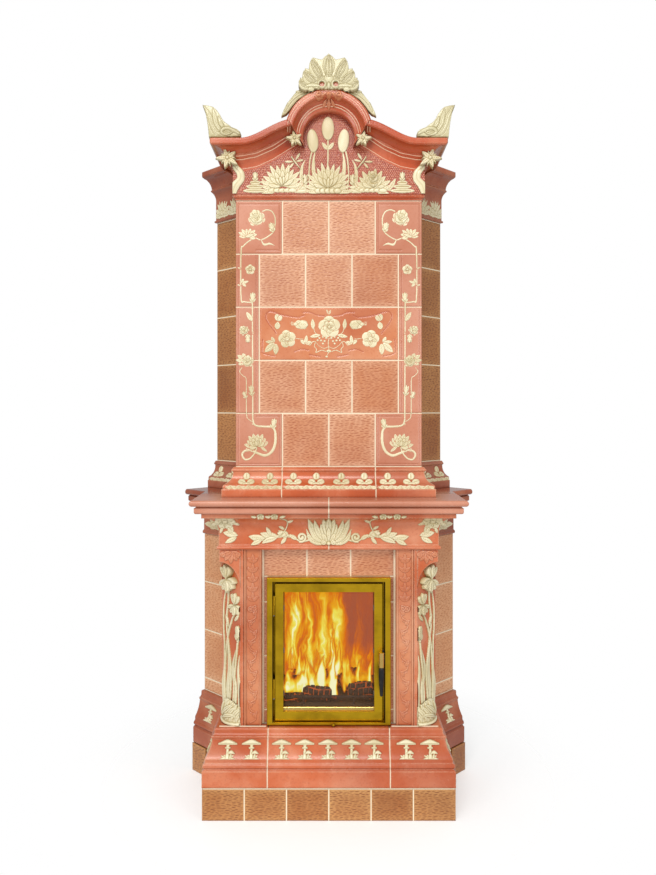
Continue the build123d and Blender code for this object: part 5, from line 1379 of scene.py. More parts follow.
# %% Clover and vine
clover_profile = [(38, 1152), (27.9, 1157), (19.4, 1164.5), (13.2, 1174), (9.6, 1184.7), (9, 1196)]
vine_profile = [(46.5, 1132), (44, 1136.5), (41.2, 1139), (41.2, 1146), (38, 1152)]
on_clover = moulded_on(front_centre, clover_profile)
on_vine = moulded_on(front_centre, vine_profile)
clover = Sheet(-345, 345, 0, on_clover.length + 2, 1.6)
for x in (-295, -211, -127, -45, 45, 127, 211, 295):
    trefoil(Pen(clover, x, 3, top=4.4))
clover.skin(flowers, on_clover)
garland = Sheet(-374, 374, 0, on_vine.length, 1.6)
for x0, x1 in ((-370, -171), (-163, 163), (171, 370)):
    vine(Pen(garland, x0 + 3, on_vine.length / 2 + 1, top=3.6), x1 - x0 - 6, 32, 3.4, 23)
garland.skin(flowers, on_vine)


def along_sides(tier, profile, draw, margin, top=4.0, low=0.0):
    """Draws on the two returns and the two side faces: draw(pen, length) fills each."""
    for key in ("left_return", "right_return", "left_side", "right_side"):
        side, length = tier[key]
        put = moulded_on(side, profile)
        sheet = Sheet(margin, length - margin, low, put.length + 2, 2.0)
        draw(Pen(sheet, 0, 0, top=top), length)
        sheet.skin(flowers, put)


def spaced(length, pitch):
    """Places spread evenly along a length, about a pitch apart."""
    count = max(int(length / pitch), 1)
    return [(k + 0.5) * length / count for k in range(count)]


def side_clover(pen, length):
    for x in spaced(length, 82):
        trefoil(pen.at(x, 3))


def side_vine(pen, length):
    vine(pen.at(6, 12), length - 12, 32, 3.4, 23)


along_sides(upper, clover_profile, side_clover, 2)
along_sides(upper, vine_profile, side_vine, 4, top=3.6)

# %% [markdown]
# The side cornices carry a row of water lilies on their flat frieze.

# %% Lilies of the side cornices
lily_band = [(5, 2186), (5, 2262)]


def side_lilies(pen, length):
    for middle in spaced(length, 62):
        for lean in (62, 118, 75, 105):
            pen.at(middle, 4, lean).leaf(70, 12, top=0.7)
        lily(pen.at(middle, 8), 7, 58, 74, 19)
        pen.stem([(middle - 30, 7), (middle + 30, 7)], 4.0)


for key in ("left_side", "right_side"):
    side, length = upper[key]
    put = moulded_on(side, lily_band)
    sheet = Sheet(2, length - 2, 0, 76, 2.0)
    side_lilies(Pen(sheet, 0, 0, top=4.0), length)
    sheet.skin(flowers, put)
flowers.make("trim_flowers", cream_glaze, slot="glaze_cream")
flowers = Body()

# %% [markdown]
# ## The crest
# Behind the plants of the crest the clay is stippled all over, so that its glaze looks deep and
# dark. The stippled ground is one thin skin that runs in under the mouldings.

# %% Stippled ground
CREST_Y = 109.4
ARCH_Z, ARCH_R = 2388, 98
STIPPLE_U, STIPPLE_V = 7.4, 6.4        # how far the stipples are apart
crest_front = upright(face(0, CREST_Y, 0))
ground = Sheet(-344, 344, 2193, 2486, 1.7, floor=-1.0)
uu, vv = np.meshgrid(ground.u, ground.v)
ogee_x = np.array([-345, -310, -260, -200, -147, -100, 0])
ogee_z = np.array([2275, 2276, 2285, 2312, 2345, 2372, 2400])
under = vv < np.interp(-np.abs(uu), ogee_x, ogee_z)
inside_arch = (uu ** 2 + (vv - ARCH_Z) ** 2 < ARCH_R ** 2) & (vv > 2330)
up = vv / STIPPLE_V
cell_v = np.floor(up)
across = (uu + 0.5 * (cell_v % 2) * STIPPLE_U) / STIPPLE_U
cell_u = np.floor(across)
du = across - cell_u - 0.5 + 0.25 * (scatter(cell_u, cell_v, 2.0) - 0.5)
dv = up - cell_v - 0.5 + 0.25 * (scatter(cell_v, cell_u, 7.0) - 0.5)
bumps = np.clip(1 - (du ** 2 + dv ** 2) * 5.5, 0, 1) * (0.7 + 0.6 * scatter(cell_u, cell_v, 4.0))
ground.height = np.where(under | inside_arch, 2.2 * bumps, ground.floor)
stippled = Body()
bare = ground.height <= ground.floor + 1e-6
keep = ~(bare[:-1, :-1] | bare[1:, :-1] | bare[:-1, 1:] | bare[1:, 1:])
stippled.grid(crest_front(uu, vv, ground.height), np.clip(1.1 - 1.6 * bumps, 0, 1),
              np.clip(1.2 * bumps, 0, 1.3), keep)
stippled.make("crest_stipple", crest_glaze, slot="glaze_red")

# %% [markdown]
# Plants of the crest, from the middle outwards: three cattails over a water lily, dragonflies, star
# flowers, more lilies with their pads, and a stem up each mitred corner.

# %% Water plants
pond = Sheet(-345, 345, 2194, 2480, 1.4, floor=-2.0)
for flip in (False, True):
    half = Pen(pond, top=6.0, mirror=flip)
    half.stroke([(-67, 2204), (-71, 2260), (-68, 2310), (-61, 2345)], [2.6, 2.8, 3.2], 0.6)
    half.stroke([(-30, 2204), (-52, 2260), (-55, 2310), (-48, 2352)], [4, 8, 6, 1], 0.7, vein=0.3)
    half.stroke([(-86, 2204), (-98, 2250), (-96, 2290), (-84, 2316)], [4, 8, 6, 1], 0.65, vein=0.3)
    dragonfly(half.at(-122, 2309, 28), 40)
    for z, wide in ((2205, 44), (2220, 33), (2234, 19)):
        half.oval(-264, z, wide, 8.5, 0.9)
        half.stroke([(-264 - wide * 0.7, z), (-264 + wide * 0.7, z)], [0.9], 0.4)
    bud(half.at(-264, 2240, 90), 34, 17)
    for z, wide in ((2204, 38), (2217, 26)):
        half.oval(-100, z, wide, 8, 0.75)
    bud(half.at(-88, 2224, 88), 42, 22)
    for k, (x, z) in enumerate(((-190, 2204), (-136, 2204), (-214, 2204), (-116, 2204))):
        half.at(x, z, (152, 28, 120, 60)[k]).leaf(54, 17, top=0.6, ribs=0.3)
    half.stroke([(-344, 2196), (-336, 2222), (-317, 2246), (-318, 2268), (-334, 2288),
                 (-346, 2300)],
                [12, 16, 14, 14, 12, 7], 1.2, vein=0.3)
lily(Pen(pond, -168, 2222, 14, top=6.0), 13, 84, 96, 19)
for k in (-2, -1, 0, 1, 2):
    Pen(pond, -166 + 18 * k, 2206, top=6.0).oval(0, 0, 14, 8, 0.9)
other_lily = Pen(pond, 158, 2216, -8, top=6.0)
lily(other_lily, 11, 70, 100, 20)
rose(other_lily.at(-2, 32, 20, top=1.2), 25)
for k in (-2, -1, 0, 1, 2):
    Pen(pond, 158 + 18 * k, 2206, top=6.0).oval(0, 0, 14, 8, 1.0)
pen = Pen(pond, top=6.5)
pen.stroke([(-4, 2290), (-3, 2330), (-3, 2362), (-3, 2390)], [2.8, 2.8, 3.4], 0.6)
pen.leaves((-4, 2352, 128, 34, 15), (-2, 2352, 52, 34, 15), top=0.8)
lily(pen.at(-3, 2212), 15, 94, 96, 19)
for k in (-2, -1, 0, 1, 2):
    pen.oval(-3 + 17 * k, 2204, 13, 10, 1.25)
cattail(pen.at(-58, 2384, 6, top=0.7), 20, 42)
cattail(pen.at(53, 2384, -6, top=0.7), 20, 42)
cattail(pen.at(-3, 2428, 0, top=0.75), 22, 42)
pond.skin(flowers, crest_front)
print("pond", pond.height.shape, "points, up to", round(float(pond.height.max()), 1), "mm high")

# %% [markdown]
# The beads and the carved rosette lie on the crest's own surface. We find it by looking straight
# back through a lattice of points, and read between them. The stars stand upright in front of it.

# %% The crest's own surface
crest_solid = nodes["crest"]
crest_tree = BVHTree.FromPolygons([crest_solid.matrix_world @ v.co
                                   for v in crest_solid.data.vertices],
                                  [tuple(p.vertices) for p in crest_solid.data.polygons])
LATTICE = 3.0
STAR_OUT = 9             # how far a star stands out from the crest behind it
lattice_u, lattice_v = np.arange(-420, 0 + LATTICE, LATTICE), np.arange(2185, 2560, LATTICE)
depth = np.full((len(lattice_v), len(lattice_u)), 112.0)
for j, z in enumerate(lattice_v):
    for i, x in enumerate(lattice_u):
        hit = crest_tree.ray_cast(Vector((x / 1000, -2.0, z / 1000)), Vector((0, 1, 0)))[0]
        if hit is not None and hit.y * 1000 + FRONT_OFFSET < 125:
            depth[j, i] = hit.y * 1000 + FRONT_OFFSET
print("crest comes forward to", round(float(depth.min()), 1))
depth = soften(depth, 2)        # a little, so that nothing laid on it jumps at a step


def on_crest(u, v, h):
    """Lays a drawing on the crest as it is seen from the front."""
    a = np.clip((-np.abs(u) - lattice_u[0]) / LATTICE, 0, len(lattice_u) - 1.001)
    b = np.clip((v - lattice_v[0]) / LATTICE, 0, len(lattice_v) - 1.001)
    i, j = np.floor(a).astype(int), np.floor(b).astype(int)
    p, q = a - i, b - j
    y = ((depth[j, i] * (1 - p) + depth[j, i + 1] * p) * (1 - q)
         + (depth[j + 1, i] * (1 - p) + depth[j + 1, i + 1] * p) * q)
    return metres(u, y - h, v)


for x, z, turn, r in ((-121, 2380, 12, 30), (-360, 2314, 20, 40)):
    i, j = int((x - lattice_u[0]) / LATTICE), int((z - lattice_v[0]) / LATTICE)
    near = np.percentile(depth[j - 7:j + 8, i - 7:i + 8], 12)
    star_sheet = Sheet(x - 48, x + 48, z - 48, z + 48, 1.4, floor=-14)
    star(Pen(star_sheet, x, z, turn, top=7.0), r)
    star_sheet.both_ends(flowers, upright(face(0, near - STAR_OUT, 0)))
flowers.make("crest_flowers", cream_glaze, slot="glaze_cream")
flowers = Body()

# %% [markdown]
# Fine beads follow the sweep of the cornice and the rings of the arch. Their glaze has run thin, and
# its pale colour also paints the highlights along these lines.

# %% Beads
beads = Body()


BEAD = 1.5               # how far a bead is raised, and half its width


def bead(points):
    """A thin raised line on the crest."""
    line, _ = along(points, 90)
    ahead = np.gradient(line, axis=0)
    ahead /= np.linalg.norm(ahead, axis=1)[:, None]
    offset = np.array([-1.0, -0.5, 0.0, 0.5, 1.0])[None, :] * BEAD
    lift = np.array([-0.6, 0.8, 1.0, 0.8, -0.6])[None, :] * BEAD
    uu = line[:, 0][:, None] + ahead[:, 1][:, None] * offset
    vv = line[:, 1][:, None] - ahead[:, 0][:, None] * offset
    beads.grid(on_crest(uu, vv, lift + 0 * uu), None, 1.0, flip=line[-1, 0] > line[0, 0])


for side in (-1, 1):
    for rise in (7, 38, 48):
        x = np.linspace(-340 - 0.85 * rise, -122 if rise < 20 else -146, 16)
        bead(np.stack([side * x, np.interp(x, ogee_x, ogee_z) + rise], axis=1))
for r in (106, 113, 139, 147):
    a = np.radians(np.linspace(6, 174, 30))
    bead(np.stack([r * np.cos(a), ARCH_Z + r * np.sin(a)], axis=1))
beads.make("crest_beads", bead_glaze, slot="glaze_red")

# %% [markdown]
# A carved rosette sits in the middle of the arch. It is modelled in the same clay and glaze as the
# arch.

# %% Carved rosette
carved = Body()
rosette = Sheet(-60, 60, 2478, 2545, 1.4, floor=-1.2)
for flip in (False, True):
    half = Pen(rosette, top=6.0, mirror=flip)
    scroll(half.at(-36, 2520, 200), 13, 1.3, 3.4)
    half.stroke([(-26, 2512), (-12, 2524), (0, 2529)], [3.2, 4.0, 3.0], 0.9)
    half.at(-8, 2510, 236).leaf(26, 11)
pen = Pen(rosette, top=7.0)
pen.oval(0, 2519, 9, 9, 1.2, dent=0.4)
pen.at(0, 2512, -90).leaf(30, 13)
rosette.skin(carved, on_crest)

# A plain strip closes the view through the two eyes of the palmette above.
eye_u, eye_v = np.linspace(-40.0, 40.0, 9), np.linspace(2542.0, 2565.0, 4)
carved.slab(upright(face(0, 30, 0)), eye_u, eye_v, np.zeros((4, 9)), 3.0)

# %% [markdown]
# ## Palmette and end leaves
# These stand free above the cornice. They are slabs of clay with a leaf fan modelled on the front,
# so they get a back as well. They take the place of the plain solids that the model carries there.

# %% Palmette
PALMETTE_Y, PALMETTE_T = 52, 25.0
palmette = Sheet(-118, 118, 2528, 2668, 1.3, floor=-PALMETTE_T)
pen = Pen(palmette, 0, 2541, top=5.0)
half_outline = [(0, 119), (12, 110), (24, 98), (38, 101), (56, 106), (56, 84), (60, 66), (72, 66),
                (84, 68), (80, 50), (76, 36), (88, 34), (101, 36), (94, 18), (84, 6), (70, 0),
                (40, -4)]
pen.patch(half_outline + [(-x, y) for x, y in half_outline[::-1]], 0.7, 9)
for k, (x, y, lean, reach, wide, bend) in enumerate((
        (62, -2, 52, 50, 30, -8), (44, 10, 38, 66, 34, -9), (24, 26, 22, 84, 36, -10),
        (0, 30, 0, 89, 40, 0))):
    for side in (-1, 1)[:1 if x == 0 else 2]:
        petal = pen.at(side * x, y, 90 - side * lean)
        petal.leaf(reach, wide, bend=side * bend, top=0.85 + 0.1 * k, belly=0.52, vein=0.0,
                   ribs=0.0, stalk=0.8)
        for track in (-0.3, 0.0, 0.3):
            petal.stroke([(8, track * wide * 0.6), (reach * 0.5, track * wide + side * bend * 0.3),
                          (reach * 0.9, track * wide * 0.3 + side * bend * 0.85)], [1.4, 2.0, 0.8],
                         1.2 + 0.1 * k - 0.25 * abs(track))
for side in (-1, 1):
    pen.oval(side * 24, 12, 16.5, 16.5, 1.5, dome=0.5)
    pen.stroke([(side * 38, 6), (side * 58, 8), (side * 80, 4)], [5, 7, 3], 1.1, vein=0.2)
pen.oval(0, 6, 6, 12, 1.7)
uu, vv = np.meshgrid(palmette.u, palmette.v)
eyes = np.hypot(np.abs(uu) - 24, vv - 2553) < 9.4
palmette.height[eyes] = palmette.floor
ornaments = Body()
palmette.skin(ornaments, upright(face(0, PALMETTE_Y - PALMETTE_T, 0)), back=True)

ribbon = Sheet(-176, 4, 2444, 2572, 1.4, floor=-14)
pen = Pen(ribbon, top=4.6)
pen.patch([(-168, 2450), (-160, 2472), (-148, 2496), (-134, 2513), (-122, 2529), (-108, 2541),
           (-96, 2551), (-60, 2560), (-10, 2556), (-10, 2536), (-39, 2536), (-78, 2526),
           (-107, 2509), (-125, 2488), (-138, 2470), (-150, 2458)], 0.8, 9)
pen.stroke([(-154, 2466), (-140, 2496), (-116, 2522), (-86, 2538), (-40, 2546)], [2, 5, 7, 8, 6],
           1.15, vein=0.3)
pen.at(-96, 2536, 176).leaf(22, 10, top=1.15)
ribbon.both_ends(ornaments, upright(face(0, PALMETTE_Y, 0)), back=True)

# %% [markdown]
# Each end of the crest carries one curled leaf, a flat piece of clay cut to a flame's outline.

# %% End leaves
LEAF_X, LEAF_Y, LEAF_T = -411.0, 44.0, 21.0
end_leaf = Sheet(-33, 106, 2372, 2489, 1.3, floor=-LEAF_T)
pen = Pen(end_leaf, top=4.6)
pen.patch([(-32, 2488), (-14, 2486), (6, 2481), (18, 2470), (28, 2456), (36, 2440), (46, 2428),
           (58, 2420), (72, 2409), (88, 2404), (98, 2396), (102, 2386), (100, 2379), (60, 2376),
           (-10, 2375), (-12, 2400), (-16, 2430), (-22, 2462)], 0.75, 12)
pen.stroke([(60, 2384), (20, 2392), (2, 2420), (-8, 2450), (-28, 2486)], [7, 11, 10, 7, 1], 1.0,
           vein=0.3)
pen.stroke([(30, 2398), (16, 2424), (10, 2450), (4, 2478)], [6, 9, 7, 1], 1.15, vein=0.25)
pen.stroke([(44, 2402), (32, 2424), (24, 2446)], [5, 8, 1], 1.2, vein=0.25)
pen.stroke([(96, 2386), (80, 2396), (62, 2404), (44, 2404), (34, 2392), (48, 2383), (66, 2387),
            (74, 2393)],
           [4, 6, 6.5, 6.5, 6, 4.5, 3.6, 2.6], 1.35)
leaf_front = upright(face(LEAF_X, LEAF_Y, 0))

end_leaf.both_ends(ornaments, leaf_front, back=True)
ornaments.make("crest_leaves", aged_glaze, slot="glaze_cream",
               stands_for=["crest_palmette", "crest_end_leaves"])

# %% [markdown]
# ## The lower tier
# The frieze under the mantle: a fan of leaves in the middle, scrolls, buds and long leaves towards
# the ends, and a daisy over each corner.

# %% Frieze
frieze_profile = [(2, 942), (2, 966), (2, 990), (4.3, 1006.5), (11.8, 1021.4), (23.6, 1033.2),
                  (38.5, 1040.7), (55, 1043), (55, 1058)]
lower_centre = face(0, LOWER_FRONT, 0)
on_frieze = moulded_on(lower_centre, frieze_profile)
band = Sheet(-436, 0.5, 0, on_frieze.length, 1.5)
pen = Pen(band, top=5.0)
pen.stroke([(-64, 20), (-96, 12), (-120, 24), (-150, 30), (-190, 26), (-228, 16), (-262, 22)],
           [3.4, 3.2, 2.6, 2.4, 2.6, 2.2, 1.2], 0.7)
scroll(pen.at(-96, 28, 250), 17, 1.3, 4.2)
pen.at(-112, 20, 150).leaf(34, 15)
bud(pen.at(-144, 34, 166), 40, 24)
pen.at(-150, 26, 230).leaf(30, 13)
pen.at(-178, 30, 168).leaf(66, 26, bend=4)
pen.at(-184, 24, 200).leaf(56, 20, bend=-4)
pen.at(-226, 24, 172).leaf(58, 24, bend=3)
pen.leaves((-236, 18, 205, 44, 17), (-204, 34, 118, 34, 14))
for x in (-236, -188):
    open_flower(pen.at(x, 137), 13)
    pen.leaves((x + 18, 136, 10, 22, 9), (x - 14, 136, 172, 20, 9))
pen.stroke([(-170, 30), (-150, 60), (-146, 92), (-172, 124)], [1.8, 2.0, 1.8, 1.4], 0.7)
pen.leaves((-156, 56, 150, 24, 10), (-146, 84, 30, 24, 10), (-322, 34, 168, 52, 24),
           (-326, 26, 205, 44, 18), (-338, 44, 120, 50, 22))
open_flower(pen.at(-364, 92), 37, 7)
for lean in (200, 340, 250, 290):
    pen.at(-364 + 30 * math.cos(math.radians(lean)), 92 + 30 * math.sin(math.radians(lean)),
           lean).leaf(24, 11)
band.both_ends(flowers, on_frieze)
centre = Sheet(-82, 82, 0, on_frieze.length, 1.4)
pen = Pen(centre, top=6.0)
for side in (-1, 1):
    for path, widths, top in (
            ([(8, 6), (44, 9), (66, 24), (79, 56)], [4, 9, 8, 1], 0.75),
            ([(10, 10), (40, 24), (58, 54), (72, 104)], [5, 12, 11, 1], 0.9),
            ([(10, 14), (30, 34), (44, 62), (50, 96)], [5, 10, 9, 1], 1.05)):
        pen.stroke([(side * x, y) for x, y in path], widths, top, vein=0.3, ribs=0.25)
fan(pen.at(0, 8), 106, 22, 5, 22)
fan(pen.at(0, 6), 60, 30, 3, 16)
for side in (-1, 1):
    scroll(pen.at(side * 17, 9, 90), 9, 1.2, 3.0)
pen.oval(0, 6, 7, 7, 1.4)
centre.skin(flowers, on_frieze)


def side_frieze_leaves(pen, length):
    middle = length / 2
    fan(pen.at(middle, 8), 74, 62, 5, 24)
    for side in (-1, 1):
        pen.at(middle + side * 12, 14, 90 - side
               * 84).leaf(min(length / 2 - 16, 62), 22, bend=side * 5)


along_sides(lower, frieze_profile, side_frieze_leaves, 3, top=4.5)

# %% [markdown]
# Toadstools stand on the slope of the base moulding, one group on each of its pieces.

# %% Toadstools
slope = [(45, 206), (36, 220), (29.8, 235), (25.2, 251), (22, 267)]
on_slope = moulded_on(lower_centre, slope)
meadow = Sheet(-400, 400, -4, on_slope.length + 3, 1.5)
for x in (-353, -270, -165, -84, -3, 79, 158, 270, 353):
    toadstool(Pen(meadow, x, -3, top=4.8), 34, 66)
meadow.skin(flowers, on_slope)


def side_toadstools(pen, length):
    for x in spaced(length, 84):
        toadstool(pen.at(x, -3), 34, 66)


along_sides(lower, slope, side_toadstools, 2, top=4.6, low=-4)

flowers.make("lower_flowers", cream_glaze, slot="glaze_cream")
flowers = Body()

# %% [markdown]
# Irises grow up the chamfer of each pillar from a fan of leaves at its foot.

# %% Irises
CHAMFER_W = PILLAR_CUT * ROOT2
chamfer = face(-LOWER_HALF, LOWER_FRONT + PILLAR_CUT, -45)
on_chamfer = upright(chamfer)
iris_sheet = Sheet(2, CHAMFER_W - 2, 303, 862, 1.4, floor=-1.2)
pen = Pen(iris_sheet, top=6.5)
for path, widths, top in (
        ([(14, 345), (9, 430), (18, 500), (12, 590)], [6, 9, 7, 1], 0.7),
        ([(98, 345), (101, 420), (94, 490), (100, 550)], [5, 8, 6, 1], 0.7),
        ([(40, 345), (36, 420), (44, 500), (34, 610)], [6, 10, 8, 1], 0.8),
        ([(74, 345), (78, 430), (66, 500), (80, 566)], [6, 11, 8, 1], 0.8),
        ([(46, 350), (56, 480), (38, 590), (30, 668), (40, 740), (40, 808)],
         [3.8, 3.8, 3.6, 3.6, 3.4, 3.4], 1.0),
        ([(26, 350), (20, 470), (36, 600), (60, 668), (74, 690), (84, 716)],
         [3.6, 3.6, 3.6, 3.4, 3.2, 3.2], 1.05),
        ([(20, 560), (12, 640), (14, 720), (26, 772)], [3.0, 3.2, 3.0, 2.0], 0.9),
        ([(66, 360), (76, 470), (88, 560), (94, 612)], [3.4, 3.4, 3.2], 1.0)):
    pen.stroke(path, widths, top, vein=0.22 if max(widths) > 6 else 0.0)
bud(pen.at(93, 600, 88), 56, 30)
pen.leaves((40, 640, 108, 50, 14), (76, 668, 50, 36, 12))
iris(pen.at(76, 724, -6, top=1.1), 40)
pen.at(30, 760, 96).leaf(56, 17)
iris_sheet.both_ends(flowers, on_chamfer)
head = Sheet(0, 92, 772, 872, 1.4, floor=-20)
iris(Pen(head, 44, 814, 8, top=7.0), 48)
head.both_ends(flowers, upright(chamfer, out=13.0))

# %% [markdown]
# The fan at the foot stands out from the chamfer like a shell, so it is drawn on a bulging ground.

# %% Fans at the feet
FOOT_TALL, FOOT_OUT = 92.0, 20.0


def on_bulge(u, v, h):
    """Places a drawing on the shell that swells out at a pillar's foot."""
    across = np.clip(1 - ((u - CHAMFER_W / 2) / (CHAMFER_W / 2)) ** 2, 0, 1)
    up = np.sqrt(np.clip(1 - (v / FOOT_TALL) ** 2, 0, 1))
    return on_chamfer(u, LOWER_FOOT + v, h + FOOT_OUT * across * up)


foot_sheet = Sheet(0.5, CHAMFER_W - 0.5, 0.5, FOOT_TALL - 1, 1.4, floor=-0.6)
pen = Pen(foot_sheet, top=7.5)
pen.patch([(2, 2), (4, 56), (20, 76), (44, 84), (70, 80), (92, 70), (103, 48), (104, 2)], 0.15, 6)
for x, lean, reach in ((96, 82, 66), (92, 62, 62), (80, 78, 74), (72, 58, 70), (60, 76, 80),
                       (50, 56, 76), (38, 74, 84), (28, 52, 82), (14, 76, 74), (6, 44, 96),
                       (6, 22, 92)):
    room = (FOOT_TALL - 6) / max(math.sin(math.radians(lean)), 0.3)
    pen.at(x, 2, lean).leaf(min(reach, room), 15, bend=8, belly=0.66, vein=0.4, ribs=0.0)
pen.stroke([(2, 5), (50, 3), (103, 5)], [6, 5, 6], 1.1)
feet = Body()
foot_sheet.both_ends(feet, on_bulge, back=True)
feet.make("pillar_fans", cream_glaze, slot="glaze_cream", stands_for=["pillar_feet"])

# %% [markdown]
# The moulded strips beside the recess and the consoles over the pillars are carved in their own red
# glaze: a winding leaf band on the strips, and hanging leaves on the consoles.

# %% Carved strips and consoles
STRIP_Y = 67.0
strip_sheet = Sheet(-290.5, -247.5, 306, 922, 1.4, floor=-0.7)
pen = Pen(strip_sheet, top=3.6)
for k in range(11):
    z = 330 + 36 * k
    side = -1 if k % 2 else 1
    pen.stroke([(-269 - side * 9, z - 18), (-269 + side * 8, z - 8), (-269 + side * 10, z + 6),
                (-269 - side * 8, z + 18)],
               [2.6, 3.4, 3.0, 2.2], 0.8)
    pen.at(-269 + side * 2, z + 2, 90 - side * 34).leaf(26, 13)
for k in range(5):
    z = 742 + 34 * k
    for side in (-1, 1):
        pen.at(-269, z, 90 - side * 46).leaf(27, 14)
    pen.at(-269, z + 6, 90).leaf(28, 12, top=1.1)
scroll(pen.at(-262, 716, 60), 11, 1.2, 3.0)
scroll(pen.at(-277, 716, 120, mirror=True), 11, 1.2, 3.0)
strip_front = upright(face(0, STRIP_Y, 0))
strip_sheet.both_ends(carved, strip_front)

console = Sheet(-384, -304, 872, 922, 1.4, floor=-0.7)
pen = Pen(console, top=4.6)
for lean in (-70, -35, 0, 35, 70):
    pen.at(-345, 918, 270 - lean).leaf(44 - abs(lean) * 0.12, 19)
for side in (-1, 1):
    scroll(pen.at(-345 + side * 27, 908, 90, mirror=side > 0), 10, 1.2, 3.2)
console_front = upright(lower_centre)
console.both_ends(carved, console_front)
carved.make("carved_red", coral_glaze, slot="glaze_red")

# %% [markdown]
# ## Joint lines
# The pointing between the pieces is drawn off with a rounded stick, a little below the glaze. On
# the tiles it is a straight strip. On a moulding it follows the profile, and in an inner corner it
# leans with the mitre.

# %% Joint strips
seams = Body()


def strip(put, u0, u1, v0, v1, sunk=0.8):
    """A flat strip of pointing."""
    uu, vv = np.meshgrid([u0, u1], [v0, v1])
    seams.grid(put(uu, vv, np.full(uu.shape, -sunk)))


STRIP_HALF, SEAM_HALF = 1.9, 1.7       # half widths, on tiles and on mouldings


def lines_on(put, uprights, levels):
    """Strips on a flat face: uprights are (u, foot, top), levels are (v, left, right)."""
    for u, low, high in uprights:
        strip(put, u - STRIP_HALF, u + STRIP_HALF, low, high)
    for v, left_end, right_end in levels:
        strip(put, left_end, right_end, v - STRIP_HALF, v + STRIP_HALF, 0.85)


def seam(side, profile, at, lean=0.0, sunk=0.5):
    """A strip that runs up a moulding; lean follows a mitre."""
    put = moulded_on(side, profile)
    pz, reach = reach_of(profile)
    uu = at + np.array([-SEAM_HALF, SEAM_HALF])[None, :] - lean * pz[:, :1]
    vv = np.repeat(reach[:, None], 2, axis=1)
    seams.grid(put(uu, vv, np.full(uu.shape, -sunk)))


on_front = upright(front_face, foot=UPPER_FOOT)
uprights = []
for n in range(5):
    if n in (0, 4):
        cuts = CORNER_TILE, UPPER_HALF, 2 * UPPER_HALF - CORNER_TILE
    elif n == 2:
        cuts = BORDER_TILE, front_length - BORDER_TILE
    else:
        cuts = *(left_end for left_end, right_end in inner_runs), front_length - BORDER_TILE
    uprights += [(u, n * ROW, (n + 1) * ROW) for u in cuts]
levels = [(n * ROW, 0.0, front_length) for n in range(6)]
lines_on(on_front, uprights, levels)
for key in ("left_side", "right_side", "left_return", "right_return"):
    side, length = upper[key]
    lines_on(upright(side, foot=UPPER_FOOT), (), [(n * ROW, 0.0, length) for n in range(6)])
for key in ("left_side", "right_side"):
    side, length = lower[key]
    lines_on(upright(side, foot=LOWER_FOOT), (), [(low, 0.0, length) for low, high in lower_rows])
door_run = upright(recess_face, foot=LOWER_FOOT)
lines_on(door_run, [(edge, DOOR_HEAD, RECESS_HEAD) for edge in (-78.0, 78.0)],
         [(v, left_end, right_end) for v in slim_levels[1:]
          for left_end, right_end in slim_runs])
for edge in (-237.0, 230.5):
    strip(door_run, edge, edge + 6.5, 0.0, RECESS_HEAD, -0.6)
strip(upright(face(0, 3.5, 0)), 2.0 - PLINTH_HALF, PLINTH_HALF - 2.0, 106.0, 110.5, 0.0)
for left_end, right_end in ((-LOWER_HALF, -DOOR_HALF - 2), (DOOR_HALF + 2, LOWER_HALF)):
    strip(upright(lower_centre), left_end, right_end, LOWER_FOOT - 2, LOWER_FOOT + 2, -0.8)
plinth_face = upright(face(-PLINTH_HALF, 0, 0))
lines_on(plinth_face, [(146.0 * n, 0.0, PLINTH_H) for n in range(1, 6)], ())

base_profile = [(54, 110), (54, 167), (49, 171), (46, 174), (49.7, 176.7), (51.7, 180.7),
                (51.7, 185.3), (49.7, 189.3), (46, 192), (45, 196), (45, 206), (38.1, 217.2),
                (32.2, 229), (27.6, 241.3), (24.2, 254), (22, 267), (25, 271), (25, 277),
                (21.7, 278), (18.9, 279.8), (16.7, 282.5), (15.4, 285.6), (15, 289), (15, 295),
                (15.1, 296.7), (13.8, 299.7), (11, 301.5)]
frieze_full = [(6, 926.5), (8.9, 931.1), (8.9, 933.9), (6, 938.5), (2, 942), (2, 990),
               (4.3, 1006.5), (11.8, 1021.4), (23.6, 1033.2), (38.5, 1040.7), (55, 1043),
               (55, 1058.5)]
mantle_profile = [(70, 1060), (73.7, 1061.3), (76.3, 1064.2), (77, 1066), (77, 1080), (71, 1084),
                  (71, 1087), (84, 1087), (88.8, 1089.8), (91.6, 1094.7), (91.6, 1100.3),
                  (88.8, 1105.2), (84, 1108)]
upper_base_profile = [(46, 1108), (46, 1136), (41, 1139), (42.6, 1144.7), (40.4, 1150.1),
                      (38, 1152), (27.9, 1157), (19.4, 1164.5), (13.2, 1174), (9.6, 1184.7),
                      (9, 1196), (13, 1199), (14.9, 1202), (13, 1205), (7, 1212.5)]
BASE_SEAM, UPPER_SEAM = 213.0, 167.5
for x in (-BASE_SEAM, BASE_SEAM):
    seam(lower_centre, base_profile, x)
seam(lower_centre, frieze_full, 0.0)
seam(lower_centre, mantle_profile + [(30, 1108.4), (-60, 1108.4)], 0.0, sunk=-0.1)
for x in (-UPPER_SEAM, UPPER_SEAM):
    seam(front_centre, upper_base_profile, x)
MITRE = math.tan(math.radians(22.5))
for tier, profile in ((lower, base_profile), (lower, frieze_full), (upper, upper_base_profile)):
    seam(tier["left_side"][0], profile, tier["left_side"][1], MITRE)
    seam(tier["right_side"][0], profile, 0.0, -MITRE)
seams.make("joint_lines", joint_plaster, slot="pointing")

# %% [markdown]
# A thin black sheet lies on the frame's inner reveal where the leaf closes: it paints the shade in
# the gap round the leaf, so the gap reads dark. It stops above and below each hinge, which fills the
# gap.

